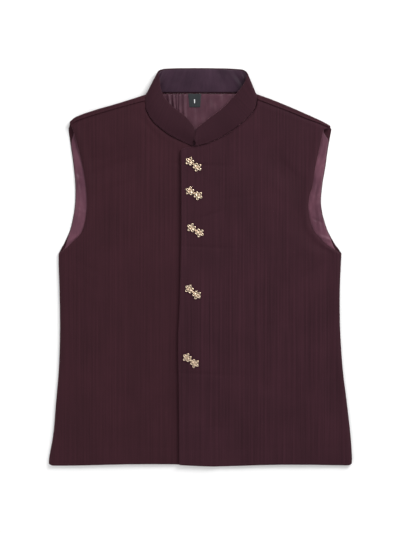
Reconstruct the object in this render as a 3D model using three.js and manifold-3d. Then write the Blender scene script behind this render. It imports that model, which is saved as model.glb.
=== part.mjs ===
import * as THREE from 'three';
import Module from 'manifold-3d';
import { mergeVertices } from 'three/addons/utils/BufferGeometryUtils.js';

// A sleeveless waistcoat with a stand-up band collar, lying flat on its back.
// Millimetres. X runs to the wearer's left, Y up towards the collar, Z up from the floor.
// The wearer's right front lies at negative X, the wearer's left front laps over it.

// Walls of cloth and the clearance between two pieces
const FRONT_WALL = 1.8;
const BACK_WALL = 1.6;
const LINING_WALL = 1.0;
const COLLAR_WALL = 2.0;
const FACING_WALL = 0.8;
const LABEL_WALL = 0.8;
const SEAM_GAP = 0.3;
const LAP_GAP = 0.5;

// Heights at which the layers lie on each other
const BACK_MIDDLE = BACK_WALL / 2;
const LINING_MIDDLE = BACK_WALL + SEAM_GAP + LINING_WALL / 2;
const FRONT_REST = BACK_WALL + SEAM_GAP + LINING_WALL + SEAM_GAP + FRONT_WALL / 2;
const LAP_LIFT = FRONT_WALL + LAP_GAP;
const SHOULDER_HEIGHT = { neck: 10.5, tip: 8.5 };
const CROWN = 3.5;
const COLLAR_BOW = { height: 1.0, from: 2, rise: 6 };

// How far the cloth takes to turn, rise or flatten
const SIDE_FOLD = 3.5;
const FOLD_FADE = 0.2;
const SHOULDER_RISE = 85;
const SHOULDER_SLOPE = { from: 95, length: 135 };
const CROWN_RISE = 55;
const CROWN_AT_HEM = { share: 0.3, length: 120 };
const CROWN_AT_SHOULDER = 60;
const CENTRE = { x: -12, flat: 26 };
const LAP_SLOPE = { start: 14, length: 22 };
const BACK_HEM_LIFT = { height: 3, share: 0.1 };
const LINING_INSET = { side: 5.5, armhole: 1.5, hem: 14, top: 1.5 };
const LINING_EASE = { start: 0.02, length: 0.05 };

// Lines down the centre front: the lapping edge and the hidden edge below it
const UNDERLAP_EDGE = table('x y', [[4, -358.0], [6, -130], [8, 60], [9, 213.5]]);
const LAP_EDGE = table('x y', [[-37.3, -355.4], [-38.2, -220], [-39.4, -130], [-36.8, -70], [-34.4, 60]]);
const LAP_CORNER = table('x y', [[-34.8, 206.5], [-33.8, 211.4], [-29.5, 213.9], [-18, 215.9]]);

// Neck edge of the fronts: its clearance to the collar's foot and its ends beside the shoulder seams
const NECK_CLEAR = { x: 0.8, y: 1.2 };
const NECK_ENDS = { right: { x: -98.5, y: 292 }, left: { x: 101.3, y: 294 }, underlap: { x: -4, y: 214.8 } };

// Side seams from the hem to the underarm
const SIDE_SEAMS = table('y right left', [
  [-354.0, -272.5, 272.0],
  [-343.5, -271.3, 272.5],
  [-300.0, -264.2, 269.6],
  [-243.0, -259.4, 263.2],
  [-185.0, -254.5, 256.1],
  [-113.0, -252.2, 251.3],
  [-41.0, -253.3, 250.7],
  [9.0, -254.9, 252.7],
  [24.4, -254.6, 253.6],
]);

// Armholes from the underarm to the shoulder: the back's edge lies outside the front's edge
const BACK_ARMHOLES = table('y right left', [
  [24.4, -254.6, 253.6],
  [45.3, -244.1, 239.9],
  [70.5, -233.6, 227.2],
  [110.0, -226.1, 217.5],
  [146.0, -225.2, 219.3],
  [180.3, -228.1, 225.0],
  [211.0, -232.2, 229.2],
  [232.5, -235.3, 233.0],
  [249.0, -237.2, 235.8],
]);
const FRONT_ARMHOLES = table('xRight yRight xLeft yLeft', [
  [-254.6, 24.4, 253.6, 24.4],
  [-241.9, 34.1, 229.0, 39.3],
  [-227.5, 47.4, 212.6, 55.5],
  [-213.1, 63.8, 202.3, 69.9],
  [-207.0, 84.1, 196.2, 90.3],
  [-203.9, 106.6, 194.2, 110.8],
  [-204.0, 127.0, 196.2, 129.2],
  [-207.0, 155.6, 201.4, 145.5],
  [-211.1, 180.1, 206.5, 180.1],
  [-218.3, 210.7, 212.6, 208.7],
  [-223.4, 229.1, 217.6, 231.0],
  [-230.0, 251.0, 221.5, 247.0],
]);

// Hem of the fronts, from the wearer's right to the left
const HEM = table('x y', [
  [-272.5, -354.0],
  [-266.0, -356.6],
  [-224.0, -356.7],
  [-134.0, -354.6],
  [-50.0, -354.6],
  [-26.0, -356.3],
  [10.0, -358.0],
  [30.0, -358.3],
  [64.0, -357.4],
  [136.0, -355.3],
  [190.0, -355.3],
  [250.0, -356.2],
  [267.0, -356.0],
  [272.0, -354.0],
]);

// Shoulders from the tip to the neck: the fold that the eye sees, and the seam in front of it
const SHOULDERS = table('xRight foldRight seamRight xLeft foldLeft seamLeft', [
  [-234.5, 261.8, 257.2, 233.2, 254.4, 250.8],
  [-224.0, 270.2, 262.9, 219.0, 262.2, 257.2],
  [-188.0, 283.0, 275.0, 190.0, 275.4, 267.9],
  [-152.0, 293.3, 285.4, 160.0, 288.4, 280.0],
  [-116.0, 304.5, 295.2, 130.0, 300.5, 291.3],
  [-98.4, 310.2, 299.8, 101.7, 310.8, 302.2],
]);

// Neck edge of the back, from the wearer's right to the left
const BACK_NECK = table('x y', [
  [-91.5, 309.4],
  [-80.0, 312.4],
  [-62.0, 313.2],
  [0.0, 313.4],
  [64.0, 313.2],
  [84.0, 312.2],
  [94.5, 309.6],
]);

// Collar from the wearer's right end, round the back of the neck, to the left end.
// Each row is one line across the band, from its foot to its top edge.
// A footZ of null lets the foot follow the front that it is sewn to.
const COLLAR_LINES = table('footX footY footZ topX topY topZ', [
  [-12.8, 218.9, null, -9.5, 247.0, 9.0],
  [-20.5, 222.2, null, -14.2, 254.6, 9.4],
  [-34.2, 228.2, null, -25.9, 269.2, 10.0],
  [-59.6, 241.8, null, -45.7, 284.6, 11.0],
  [-83.8, 261.6, null, -63.5, 302.4, 12.2],
  [-95.6, 281.5, null, -71.3, 319.5, 13.2],
  [-97.4, 293.0, 10.2, -72.9, 331.0, 13.8],
  [-97.4, 303.0, 10.4, -74.4, 341.0, 13.6],
  [-97.2, 308.4, 8.6, -75.8, 347.5, 11.6],
  [-96.2, 311.4, 5.4, -75.4, 352.2, 7.4],
  [-93.2, 313.2, 2.4, -70.4, 355.6, 3.0],
  [-86.0, 314.0, 1.1, -61.0, 357.4, 1.15],
  [-60.0, 314.4, 1.0, -38.0, 358.2, 1.0],
  [-1.0, 314.5, 1.0, 4.0, 358.4, 1.0],
  [60.0, 314.4, 1.0, 44.0, 357.9, 1.0],
  [88.0, 314.0, 1.1, 66.0, 356.8, 1.15],
  [95.8, 313.4, 2.4, 76.5, 355.2, 3.0],
  [99.2, 311.4, 5.4, 82.8, 350.8, 7.4],
  [100.2, 308.4, 8.6, 83.9, 345.6, 11.6],
  [100.3, 303.0, 10.4, 82.6, 338.5, 13.6],
  [99.6, 294.0, 10.2, 78.2, 328.5, 13.8],
  [96.9, 285.2, null, 69.6, 316.4, 13.2],
  [88.0, 273.2, null, 57.5, 303.6, 12.4],
  [66.2, 253.4, null, 41.0, 286.2, 11.4],
  [41.0, 236.7, null, 17.8, 268.6, 10.6],
  [16.0, 224.9, null, 2.2, 256.6, 10.2],
  [-2.0, 219.9, null, -4.4, 251.0, 10.0],
  [-10.2, 219.0, null, -7.1, 247.0, 10.0],
]);
const COLLAR_SLIT_X = -11.5;
const COLLAR_FOOT_INSIDE = 1;
const FACING_LINES = { first: 5.4, last: 21.6, foot: 0.03, top: 0.97 };

// Largest soft folds of the fronts, as long troughs: ends, half width and depth
const TROUGHS = table('x1 y1 x2 y2 halfWidth depth', [
  [-214, 158, -92, 206, 20, 2.2],
  [-150, 100, -70, 150, 24, 1.2],
  [196, 120, 110, 196, 22, 1.6],
  [60, -200, 200, -236, 26, 1.2],
  [-70, -262, -190, -214, 26, 1.2],
]);

// Woven label under the back neck seam
const LABEL = { x: -10.2, top: 312, length: 23.5, topWidth: 23, bottomWidth: 19, curl: 0.7 };

// Fasteners: two openwork flowers joined by a link with a bead, with the tilt of the pair
const FLOWER = { radius: 7.9, valley: 4.1, thickness: 1.5, holeAt: 5.0, holeLong: 1.8, holeWide: 1.6 };
const PETALS = 5;
const PETAL_FULLNESS = 0.7;
const BEAD = { radius: 2.0, squash: 0.8, height: 1.6 };
const BOSS = { radius: 1.7, squash: 0.7 };
const LINK = { length: 11, radius: 0.8, height: 0.85 };
const BROOCH_SPACING = 17.5;
const BROOCH_CLEARANCE = 0.35;
const BROOCHES = table('x y tilt', [
  [-12.4, 185.1, -38],
  [-11.5, 132.9, -29.5],
  [-8.8, 66.3, -32],
  [-13.3, -44.6, -39],
  [-17.1, -167.9, -37],
]);

// Shares of a panel: where the underarm and the neck lie, and how far an edge bends the panel
const UNDERARM_SHARE = 0.58;
const FOLD_END = 0.03;
const SHOULDER_SHARE = { right: 0.56, left: 0.5 };
const NECK_SHARE = { right: 0.29, left: 0.71 };
const FRONT_REACH = 0.5;

// Grid lines: counts between two lines of a panel, and single lines where the cloth turns quickly
const COUNTS = {
  body: 9,
  armhole: 9,
  fold: 3,
  shoulder: 7,
  neckTurn: 3,
  chest: 6,
  backNeck: 6,
  wrap: 6,
  lining: 16,
};
const UNDERARM_LINES = [0.016, 0.036];
const ARMHOLE_FROM = 0.06;
const FRONT_NECK_TURN = 0.09;
const BACK_NECK_TURN = { first: 0.014, second: 0.035, even: 0.07 };
const LAP_CORNER_COLUMNS = [0.06, 0.03, 0.0135, 0];
const LINING_ROWS = { first: 0.03, last: 0.97 };
const COLLAR_GRID = { along: 52, across: 4 };
const FACING_GRID = { along: 34, across: 3 };
const LABEL_GRID = { across: 3, along: 4 };
const FLOWER_GRID = { petal: 6, hole: 3 };
const BALL_GRID = { round: 8, down: 5 };
const LINK_SIDES = 8;
const NORMAL_STEP = 1e-4;
const WELD = 1e-4;
const TINY = 1e-9;

// Colours of the finishes
const COLOURS = {
  cloth: { color: 0x3d232a, roughness: 0.85, metalness: 0 },
  lining: { color: 0x694652, roughness: 0.45, metalness: 0 },
  facing: { color: 0x3c2a38, roughness: 0.45, metalness: 0 },
  label: { color: 0x2a2b2e, roughness: 0.7, metalness: 0 },
  brass: { color: 0xd8b878, roughness: 0.3, metalness: 1 },
};

// A table's rows as objects with the named columns
function table(columns, rows) {
  const names = columns.split(' ');
  return rows.map((row) => Object.fromEntries(names.map((name, i) => [name, row[i]])));
}

function clamp(value, low = 0, high = 1) {
  return Math.min(high, Math.max(low, value));
}

function smoothStep(value) {
  const t = clamp(value);
  return t * t * (3 - 2 * t);
}

// Smooth line through values at rising keys, with the slope of its neighbours at each key
function smoothValue(keys, values, key) {
  const last = keys.length - 1;
  let i = 0;
  while (i < last - 1 && key > keys[i + 1]) i += 1;
  const slope = (k) => {
    const low = Math.max(0, k - 1);
    const high = Math.min(last, k + 1);
    return (values[high] - values[low]) / (keys[high] - keys[low]);
  };
  const span = keys[i + 1] - keys[i];
  const t = clamp((key - keys[i]) / span);
  const t2 = t * t;
  const t3 = t2 * t;
  return (2 * t3 - 3 * t2 + 1) * values[i] + (t3 - 2 * t2 + t) * span * slope(i)
    + (3 * t2 - 2 * t3) * values[i + 1] + (t3 - t2) * span * slope(i + 1);
}

// Smooth plan curve through points, by its share of the length
function planCurve(points) {
  const lengths = [0];
  for (let i = 1; i < points.length; i += 1) {
    lengths.push(lengths[i - 1] + Math.hypot(points[i].x - points[i - 1].x, points[i].y - points[i - 1].y));
  }
  const keys = lengths.map((length) => length / lengths.at(-1));
  const xs = points.map((point) => point.x);
  const ys = points.map((point) => point.y);
  return (share) => ({ x: smoothValue(keys, xs, share), y: smoothValue(keys, ys, share) });
}

// Two plan curves end to end, the first up to the split
function joined(first, second, split) {
  return (share) => (share < split ? first(share / split) : second((share - split) / (1 - split)));
}

// Plan of a panel: straight lines from hem to top, bent near each side to follow that side's curve
function panelPlan(hem, top, right, left, reach) {
  const bend = (share) => Math.max(0, 1 - share / reach) ** 2;
  const offLine = (side, v, axis) => side(v)[axis] - (1 - v) * side(0)[axis] - v * side(1)[axis];
  const blend = (u, v, axis) => (1 - v) * hem(u)[axis] + v * top(u)[axis]
    + bend(u) * offLine(right, v, axis) + bend(1 - u) * offLine(left, v, axis);
  return (u, v) => ({ x: blend(u, v, 'x'), y: blend(u, v, 'y') });
}

function reversed(curve) {
  return (share) => curve(1 - share);
}

function shifted(curve, dy) {
  return (share) => {
    const point = curve(share);
    return { x: point.x, y: point.y + dy };
  };
}

// Shares that lie evenly between two values
function evenly(from, to, count) {
  return Array.from({ length: count + 1 }, (_, i) => from + ((to - from) * i) / count);
}

function distinct(values) {
  return values.filter((value, i) => i === 0 || value - values[i - 1] > TINY);
}

// Closed wall of cloth: the surface's grid moved to both sides, with its rim closed.
// Only the cells that are kept are built, and offset moves the whole wall off the surface.
function clothWall(surface, columns, rows, { thickness, offset = 0, keep = () => true }) {
  const normalAt = (u, v) => {
    const [u0, u1] = [Math.max(columns[0], u - NORMAL_STEP), Math.min(columns.at(-1), u + NORMAL_STEP)];
    const [v0, v1] = [Math.max(rows[0], v - NORMAL_STEP), Math.min(rows.at(-1), v + NORMAL_STEP)];
    const across = surface(u1, v).sub(surface(u0, v));
    const along = surface(u, v1).sub(surface(u, v0));
    return across.cross(along).normalize();
  };
  const positions = [];
  const pairs = new Map();
  const pair = (i, j) => {
    const key = `${i} ${j}`;
    if (!pairs.has(key)) {
      const middle = surface(columns[i], rows[j]);
      const normal = normalAt(columns[i], rows[j]);
      const place = (distance) => {
        positions.push(...middle.clone().addScaledVector(normal, distance).toArray());
        return positions.length / 3 - 1;
      };
      pairs.set(key, { upper: place(offset + thickness / 2), lower: place(offset - thickness / 2) });
    }
    return pairs.get(key);
  };
  const faces = [];
  const edges = new Map();
  for (let j = 0; j < rows.length - 1; j += 1) {
    for (let i = 0; i < columns.length - 1; i += 1) {
      if (!keep(columns[i], columns[i + 1], rows[j], rows[j + 1])) continue;
      const ring = [pair(i, j), pair(i + 1, j), pair(i + 1, j + 1), pair(i, j + 1)];
      const [a, b, c, d] = ring;
      faces.push(a.upper, b.upper, c.upper, a.upper, c.upper, d.upper);
      faces.push(a.lower, c.lower, b.lower, a.lower, d.lower, c.lower);
      ring.forEach((from, k) => {
        const to = ring[(k + 1) % ring.length];
        const back = `${to.upper} ${from.upper}`;
        if (edges.has(back)) edges.delete(back);
        else edges.set(`${from.upper} ${to.upper}`, [from, to]);
      });
    }
  }
  for (const [from, to] of edges.values()) {
    faces.push(from.upper, from.lower, to.lower, from.upper, to.lower, to.upper);
  }
  const geometry = new THREE.BufferGeometry();
  geometry.setAttribute('position', new THREE.Float32BufferAttribute(positions, 3));
  geometry.setIndex(faces);
  geometry.computeVertexNormals();
  return geometry;
}

// Plan edges, each from the hem or the tip upwards
const sideOf = (side) => planCurve(SIDE_SEAMS.map((row) => ({ x: row[side], y: row.y })));
const backArmholeOf = (side, tip) => planCurve(
  [...BACK_ARMHOLES.map((row) => ({ x: row[side], y: row.y })), tip],
);
const frontArmholeOf = (Side, tip) => planCurve(
  [...FRONT_ARMHOLES.map((row) => ({ x: row[`x${Side}`], y: row[`y${Side}`] })), tip],
);
const shoulderOf = (Side, line) => planCurve(
  SHOULDERS.map((row) => ({ x: row[`x${Side}`], y: row[`${line}${Side}`] })),
);
const UNDERARM_Y = SIDE_SEAMS.at(-1).y;
const HEM_Y = SIDE_SEAMS[0].y;

// The hem's height at a place, and the hem between two places
function hemY(x) {
  return smoothValue(HEM.map((row) => row.x), HEM.map((row) => row.y), x);
}

function hemLine(from, to) {
  return (share) => {
    const x = from + (to - from) * share;
    return { x, y: hemY(x) };
  };
}

// X of the hidden edge of the underlap at a height
function underlapX(y) {
  return smoothValue(UNDERLAP_EDGE.map((row) => row.y), UNDERLAP_EDGE.map((row) => row.x), y);
}

// Lift of the left front where it laps over the right one
function lapLift(x, y) {
  return LAP_LIFT * (1 - smoothStep((x - underlapX(y) - LAP_SLOPE.start) / LAP_SLOPE.length));
}

// Height of the fronts' middle surface over the floor, without the lap
function frontHeight(x, y) {
  const side = x < CENTRE.x ? 'Right' : 'Left';
  const rows = [...SHOULDERS].sort((a, b) => a[`x${side}`] - b[`x${side}`]);
  const seamY = smoothValue(rows.map((row) => row[`x${side}`]), rows.map((row) => row[`seam${side}`]), x);
  const toTip = smoothStep((Math.abs(x) - SHOULDER_SLOPE.from) / SHOULDER_SLOPE.length);
  const shoulder = SHOULDER_HEIGHT.neck + (SHOULDER_HEIGHT.tip - SHOULDER_HEIGHT.neck) * toTip;
  const rise = (shoulder - FRONT_REST) * smoothStep(1 - (seamY - y) / SHOULDER_RISE);
  const edge = outerEdge(side, y);
  const fromCentre = Math.abs(x - CENTRE.x) - CENTRE.flat;
  const inside = smoothStep(Math.abs(x - edge) / CROWN_RISE) * smoothStep(fromCentre / CROWN_RISE);
  const low = CROWN_AT_HEM.share + (1 - CROWN_AT_HEM.share) * smoothStep((y - HEM_Y) / CROWN_AT_HEM.length);
  const crown = CROWN * inside * low * smoothStep((seamY - y) / CROWN_AT_SHOULDER);
  let dip = 0;
  for (const fold of TROUGHS) dip += trough(fold, x, y);
  return FRONT_REST + rise + crown - Math.min(dip, crown);
}

// Depth of one trough at a place, fading towards its ends
function trough(fold, x, y) {
  const along = new THREE.Vector2(fold.x2 - fold.x1, fold.y2 - fold.y1);
  const length = along.length();
  along.normalize();
  const from = new THREE.Vector2(x - fold.x1, y - fold.y1);
  const share = from.dot(along) / length;
  const off = Math.abs(from.cross(along)) / fold.halfWidth;
  if (share < 0 || share > 1 || off > 1) return 0;
  return fold.depth * Math.sin(Math.PI * share) * (1 + Math.cos(Math.PI * off)) / 2;
}

// X of the side seam or of the front's armhole edge at a height
function outerEdge(Side, y) {
  const low = y < UNDERARM_Y;
  const rows = low ? SIDE_SEAMS : FRONT_ARMHOLES;
  const keys = rows.map((row) => (low ? row.y : row[`y${Side}`]));
  const values = rows.map((row) => (low ? row[Side.toLowerCase()] : row[`x${Side}`]));
  return smoothValue(keys, values, y);
}

// Share of the side fold at a row: whole along the seam, gone a little above the underarm
function foldShare(v) {
  return 1 - smoothStep((v - UNDERARM_SHARE) / FOLD_END);
}

// Height where front and back meet at the side seam
const SIDE_MIDDLE = (BACK_MIDDLE + FRONT_REST) / 2;

// Turn of the cloth at an edge: distance in from the edge and share of the full height
function turn(share) {
  const angle = (clamp(share) * Math.PI) / 2;
  return { inset: SIDE_FOLD * (1 - Math.cos(angle)), height: Math.sin(angle) };
}

const ROWS = [
  ...evenly(0, UNDERARM_SHARE, COUNTS.body),
  ...UNDERARM_LINES.map((line) => UNDERARM_SHARE + line),
  ...evenly(UNDERARM_SHARE + ARMHOLE_FROM, 1, COUNTS.armhole),
];

// Share of a panel's width, moved by the side fold up to FOLD_FADE past it and not beyond
function flatShare(share, first) {
  return share + first * Math.max(0, 1 - share / FOLD_FADE);
}

// Fronts. U runs from 0 at the side seam through 1, where the fold ends, to 2 at the centre.

function frontGeometry(side) {
  const Side = side === 'right' ? 'Right' : 'Left';
  const seam = shifted(shoulderOf(Side, 'seam'), -SEAM_GAP / 2);
  const sideEdge = joined(sideOf(side), frontArmholeOf(Side, seam(0)), UNDERARM_SHARE);
  const onSide = (row) => (side === 'right') === (row.footX < COLLAR_SLIT_X);
  const neckRows = COLLAR_LINES.filter((row) => row.footZ === null && onSide(row)).reverse();
  const outward = side === 'right' ? -NECK_CLEAR.x : NECK_CLEAR.x;
  const neckPoints = neckRows.map((row) => ({ x: row.footX + outward, y: row.footY - NECK_CLEAR.y }));
  let centreEdge;
  let neckLine;
  if (side === 'right') {
    const lowEnd = [NECK_ENDS.underlap, UNDERLAP_EDGE.at(-1)];
    neckLine = planCurve([seam(1), NECK_ENDS.right, ...neckPoints, ...lowEnd]);
    centreEdge = planCurve(UNDERLAP_EDGE);
  } else {
    neckLine = reversed(planCurve([...LAP_CORNER, ...neckPoints, NECK_ENDS.left, seam(1)]));
    centreEdge = planCurve([...LAP_EDGE, LAP_CORNER[0]]);
  }
  const shoulderShare = SHOULDER_SHARE[side];
  const top = joined(seam, neckLine, shoulderShare);
  const hem = hemLine(sideEdge(0).x, centreEdge(0).x);
  const plan = panelPlan(hem, top, sideEdge, centreEdge, FRONT_REACH);
  const surface = (u, v) => {
    const { inset, height } = turn(u);
    const width = Math.abs(plan(1, v).x - plan(0, v).x);
    const share = u < 1 ? inset / width : flatShare(u - 1, SIDE_FOLD / width);
    const { x, y } = plan(share, v);
    const flat = frontHeight(x, y) + (side === 'left' ? lapLift(x, y) : 0);
    const rim = SIDE_MIDDLE + SEAM_GAP / 2;
    const folded = rim + (flat - rim) * height;
    const z = flat + (folded - flat) * foldShare(v);
    return new THREE.Vector3(x, y, z);
  };
  const neckFrom = 1 + shoulderShare;
  const corner = side === 'left' ? LAP_CORNER_COLUMNS.map((share) => 2 - share) : [2];
  const columns = distinct([
    ...evenly(0, 1, COUNTS.fold), ...evenly(1, neckFrom, COUNTS.shoulder),
    ...evenly(neckFrom, neckFrom + FRONT_NECK_TURN, COUNTS.neckTurn),
    ...evenly(neckFrom + FRONT_NECK_TURN, corner[0], COUNTS.chest), ...corner,
  ]);
  return clothWall(surface, columns, ROWS, { thickness: FRONT_WALL });
}

// Back. U runs from 0 at the right seam, 1 and 2 at the ends of the folds, to 3 at the left seam.
// V runs from 0 at the hem to 1, and on the shoulders through the fold at 2 to the seam at 3.

function backPanel() {
  const fold = { right: shoulderOf('Right', 'fold'), left: shoulderOf('Left', 'fold') };
  const seam = {
    right: shifted(shoulderOf('Right', 'seam'), SEAM_GAP / 2),
    left: shifted(shoulderOf('Left', 'seam'), SEAM_GAP / 2),
  };
  const wrapPoint = (side, share, w) => {
    const from = fold[side](share);
    const to = seam[side](share);
    return { x: from.x + (to.x - from.x) * w, y: from.y + (to.y - from.y) * w };
  };
  const neck = planCurve([wrapPoint('right', 1, 0.5), ...BACK_NECK, wrapPoint('left', 1, 0.5)]);
  const top = (u) => {
    if (u < NECK_SHARE.right) return wrapPoint('right', u / NECK_SHARE.right, 0.5);
    if (u > NECK_SHARE.left) return wrapPoint('left', (1 - u) / (1 - NECK_SHARE.left), 0.5);
    return neck((u - NECK_SHARE.right) / (NECK_SHARE.left - NECK_SHARE.right));
  };
  const edge = (side, tip) => {
    const line = joined(sideOf(side), backArmholeOf(side, tip), UNDERARM_SHARE);
    return (v) => {
      const { x, y } = line(v);
      return { x, y: y + BACK_HEM_LIFT.height * (1 - smoothStep(v / BACK_HEM_LIFT.share)) };
    };
  };
  const rightEdge = edge('right', top(0));
  const leftEdge = edge('left', top(1));
  const hem = shifted(hemLine(rightEdge(0).x, leftEdge(0).x), BACK_HEM_LIFT.height);
  const plan = panelPlan(hem, top, rightEdge, leftEdge, NECK_SHARE.right);
  return { plan, wrapPoint };
}

const BACK = backPanel();

function backSurface(u, v) {
  const row = Math.min(v, 1);
  const width = BACK.plan(1, row).x - BACK.plan(0, row).x;
  const first = SIDE_FOLD / width;
  const right = turn(u);
  const left = turn(3 - u);
  let share = flatShare(u - 1, first) - (flatShare(2 - u, first) - (2 - u));
  if (u < 1) share = right.inset / width;
  if (u > 2) share = 1 - left.inset / width;
  const folded = foldShare(row) * Math.max(1 - right.height, 1 - left.height);
  if (v <= 1) {
    const { x, y } = BACK.plan(share, row);
    return new THREE.Vector3(x, y, BACK_MIDDLE + (SIDE_MIDDLE - SEAM_GAP / 2 - BACK_MIDDLE) * folded);
  }
  const side = share < 0.5 ? 'right' : 'left';
  const along = side === 'right' ? share / NECK_SHARE.right : (1 - share) / (1 - NECK_SHARE.left);
  const seam = BACK.wrapPoint(side, clamp(along), 1);
  const topHeight = frontHeight(seam.x, seam.y);
  const angle = v < 2 ? (v - 1.5) * Math.PI : Math.PI / 2;
  const w = v < 2 ? 0.5 * (1 - Math.cos(angle)) : 0.5 + 0.5 * (v - 2);
  const place = BACK.wrapPoint(side, clamp(along), w);
  const middle = (topHeight + BACK_MIDDLE) / 2;
  return new THREE.Vector3(place.x, place.y, middle + (topHeight - middle) * Math.sin(angle));
}

function backGeometry() {
  const [neckFrom, neckTo] = [1 + NECK_SHARE.right, 1 + NECK_SHARE.left];
  const columns = distinct([
    ...evenly(0, 1, COUNTS.fold), ...evenly(1, neckFrom, COUNTS.shoulder),
    neckFrom + BACK_NECK_TURN.first, neckFrom + BACK_NECK_TURN.second,
    ...evenly(neckFrom + BACK_NECK_TURN.even, neckTo - BACK_NECK_TURN.even, COUNTS.backNeck),
    neckTo - BACK_NECK_TURN.second, neckTo - BACK_NECK_TURN.first,
    ...evenly(neckTo, 2, COUNTS.shoulder), ...evenly(2, 3, COUNTS.fold),
  ]);
  const rows = distinct([...ROWS, ...evenly(1, 2, COUNTS.wrap), 3]);
  const keep = (u0, u1, v0) => v0 < 1 - TINY || u1 < neckFrom + TINY || u0 > neckTo - TINY;
  return clothWall(backSurface, columns, rows, { thickness: BACK_WALL, keep });
}

// Back lining: the back's own plan, drawn in from its edges
function liningGeometry() {
  const surface = (u, v) => {
    const above = smoothStep((v - UNDERARM_SHARE - LINING_EASE.start) / LINING_EASE.length);
    const rowInset = LINING_INSET.side + (LINING_INSET.armhole - LINING_INSET.side) * above;
    const width = BACK.plan(1, v).x - BACK.plan(0, v).x;
    const inset = rowInset / width;
    const { x, y } = BACK.plan(inset + (1 - 2 * inset) * u, v);
    return new THREE.Vector3(x, y, LINING_MIDDLE);
  };
  const length = SHOULDERS[0].foldRight - HEM_Y;
  const between = ROWS.filter((v) => v > LINING_ROWS.first && v < LINING_ROWS.last);
  const rows = [LINING_INSET.hem / length, ...between, 1 - LINING_INSET.top / length];
  return clothWall(surface, evenly(0, 1, COUNTS.lining), rows, { thickness: LINING_WALL });
}

// Collar band: lines across it, blended along it
function collarSurface(along, across) {
  const keys = COLLAR_LINES.map((_, i) => i);
  const value = (name) => smoothValue(keys, COLLAR_LINES.map((row) => lineValue(row, name)), along);
  const foot = new THREE.Vector3(value('footX'), value('footY'), value('footZ'));
  const top = new THREE.Vector3(value('topX'), value('topY'), value('topZ'));
  const point = foot.clone().lerp(top, across);
  const standing = smoothStep((point.z - COLLAR_BOW.from) / COLLAR_BOW.rise);
  point.z += COLLAR_BOW.height * Math.sin(Math.PI * across) * standing;
  point.z = Math.max(point.z, COLLAR_WALL / 2);
  return point;
}

function lineValue(row, name) {
  if (name !== 'footZ' || row.footZ !== null) return row[name];
  const lap = row.footX > COLLAR_SLIT_X ? lapLift(row.footX, row.footY) : 0;
  return frontHeight(row.footX, row.footY - COLLAR_FOOT_INSIDE) + lap;
}

function collarGeometry() {
  const columns = evenly(0, COLLAR_LINES.length - 1, COLLAR_GRID.along);
  return clothWall(collarSurface, columns, evenly(0, 1, COLLAR_GRID.across), { thickness: COLLAR_WALL });
}

// Facing: inside the collar, from one side of the neck round the back to the other
function facingGeometry() {
  const offset = COLLAR_WALL / 2 + SEAM_GAP + FACING_WALL / 2;
  const columns = evenly(FACING_LINES.first, FACING_LINES.last, FACING_GRID.along);
  const rows = evenly(FACING_LINES.foot, FACING_LINES.top, FACING_GRID.across);
  return clothWall(collarSurface, columns, rows, { thickness: FACING_WALL, offset });
}

function labelGeometry() {
  const base = BACK_WALL + SEAM_GAP + LINING_WALL + SEAM_GAP + LABEL_WALL / 2;
  const surface = (u, v) => {
    const width = LABEL.bottomWidth + (LABEL.topWidth - LABEL.bottomWidth) * v;
    return new THREE.Vector3(
      LABEL.x + (u - 0.5) * width,
      LABEL.top - LABEL.length * (1 - v),
      base + LABEL.curl * (1 - v) ** 2,
    );
  };
  const columns = evenly(0, 1, LABEL_GRID.across);
  return clothWall(surface, columns, evenly(0, 1, LABEL_GRID.along), { thickness: LABEL_WALL });
}

// One openwork flower with a hole in each petal
function flowerShape() {
  const shape = new THREE.Shape();
  const steps = PETALS * FLOWER_GRID.petal;
  for (let i = 0; i <= steps; i += 1) {
    const angle = (i / steps) * 2 * Math.PI;
    const petal = Math.abs(Math.cos((PETALS / 2) * angle)) ** PETAL_FULLNESS;
    const radius = FLOWER.valley + (FLOWER.radius - FLOWER.valley) * petal;
    const point = [radius * Math.cos(angle), radius * Math.sin(angle)];
    if (i === 0) shape.moveTo(...point);
    else shape.lineTo(...point);
  }
  for (let k = 0; k < PETALS; k += 1) {
    const angle = (k / PETALS) * 2 * Math.PI;
    const hole = new THREE.Path();
    const x = FLOWER.holeAt * Math.cos(angle);
    const y = FLOWER.holeAt * Math.sin(angle);
    hole.absellipse(x, y, FLOWER.holeLong, FLOWER.holeWide, 0, 2 * Math.PI, true, angle);
    shape.holes.push(hole);
  }
  return shape;
}

const wasm = await Module();
wasm.setup();

function toSolid(geometry) {
  const bare = geometry.clone();
  bare.deleteAttribute('normal');
  bare.deleteAttribute('uv');
  const merged = mergeVertices(bare, WELD);
  return new wasm.Manifold(new wasm.Mesh({
    numProp: 3,
    vertProperties: new Float32Array(merged.attributes.position.array),
    triVerts: new Uint32Array(merged.index.array),
  }));
}

function fromSolid(solid) {
  const mesh = solid.getMesh();
  const geometry = new THREE.BufferGeometry();
  geometry.setAttribute('position', new THREE.Float32BufferAttribute(mesh.vertProperties, 3));
  geometry.setIndex(Array.from(mesh.triVerts));
  geometry.computeVertexNormals();
  return geometry;
}

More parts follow.
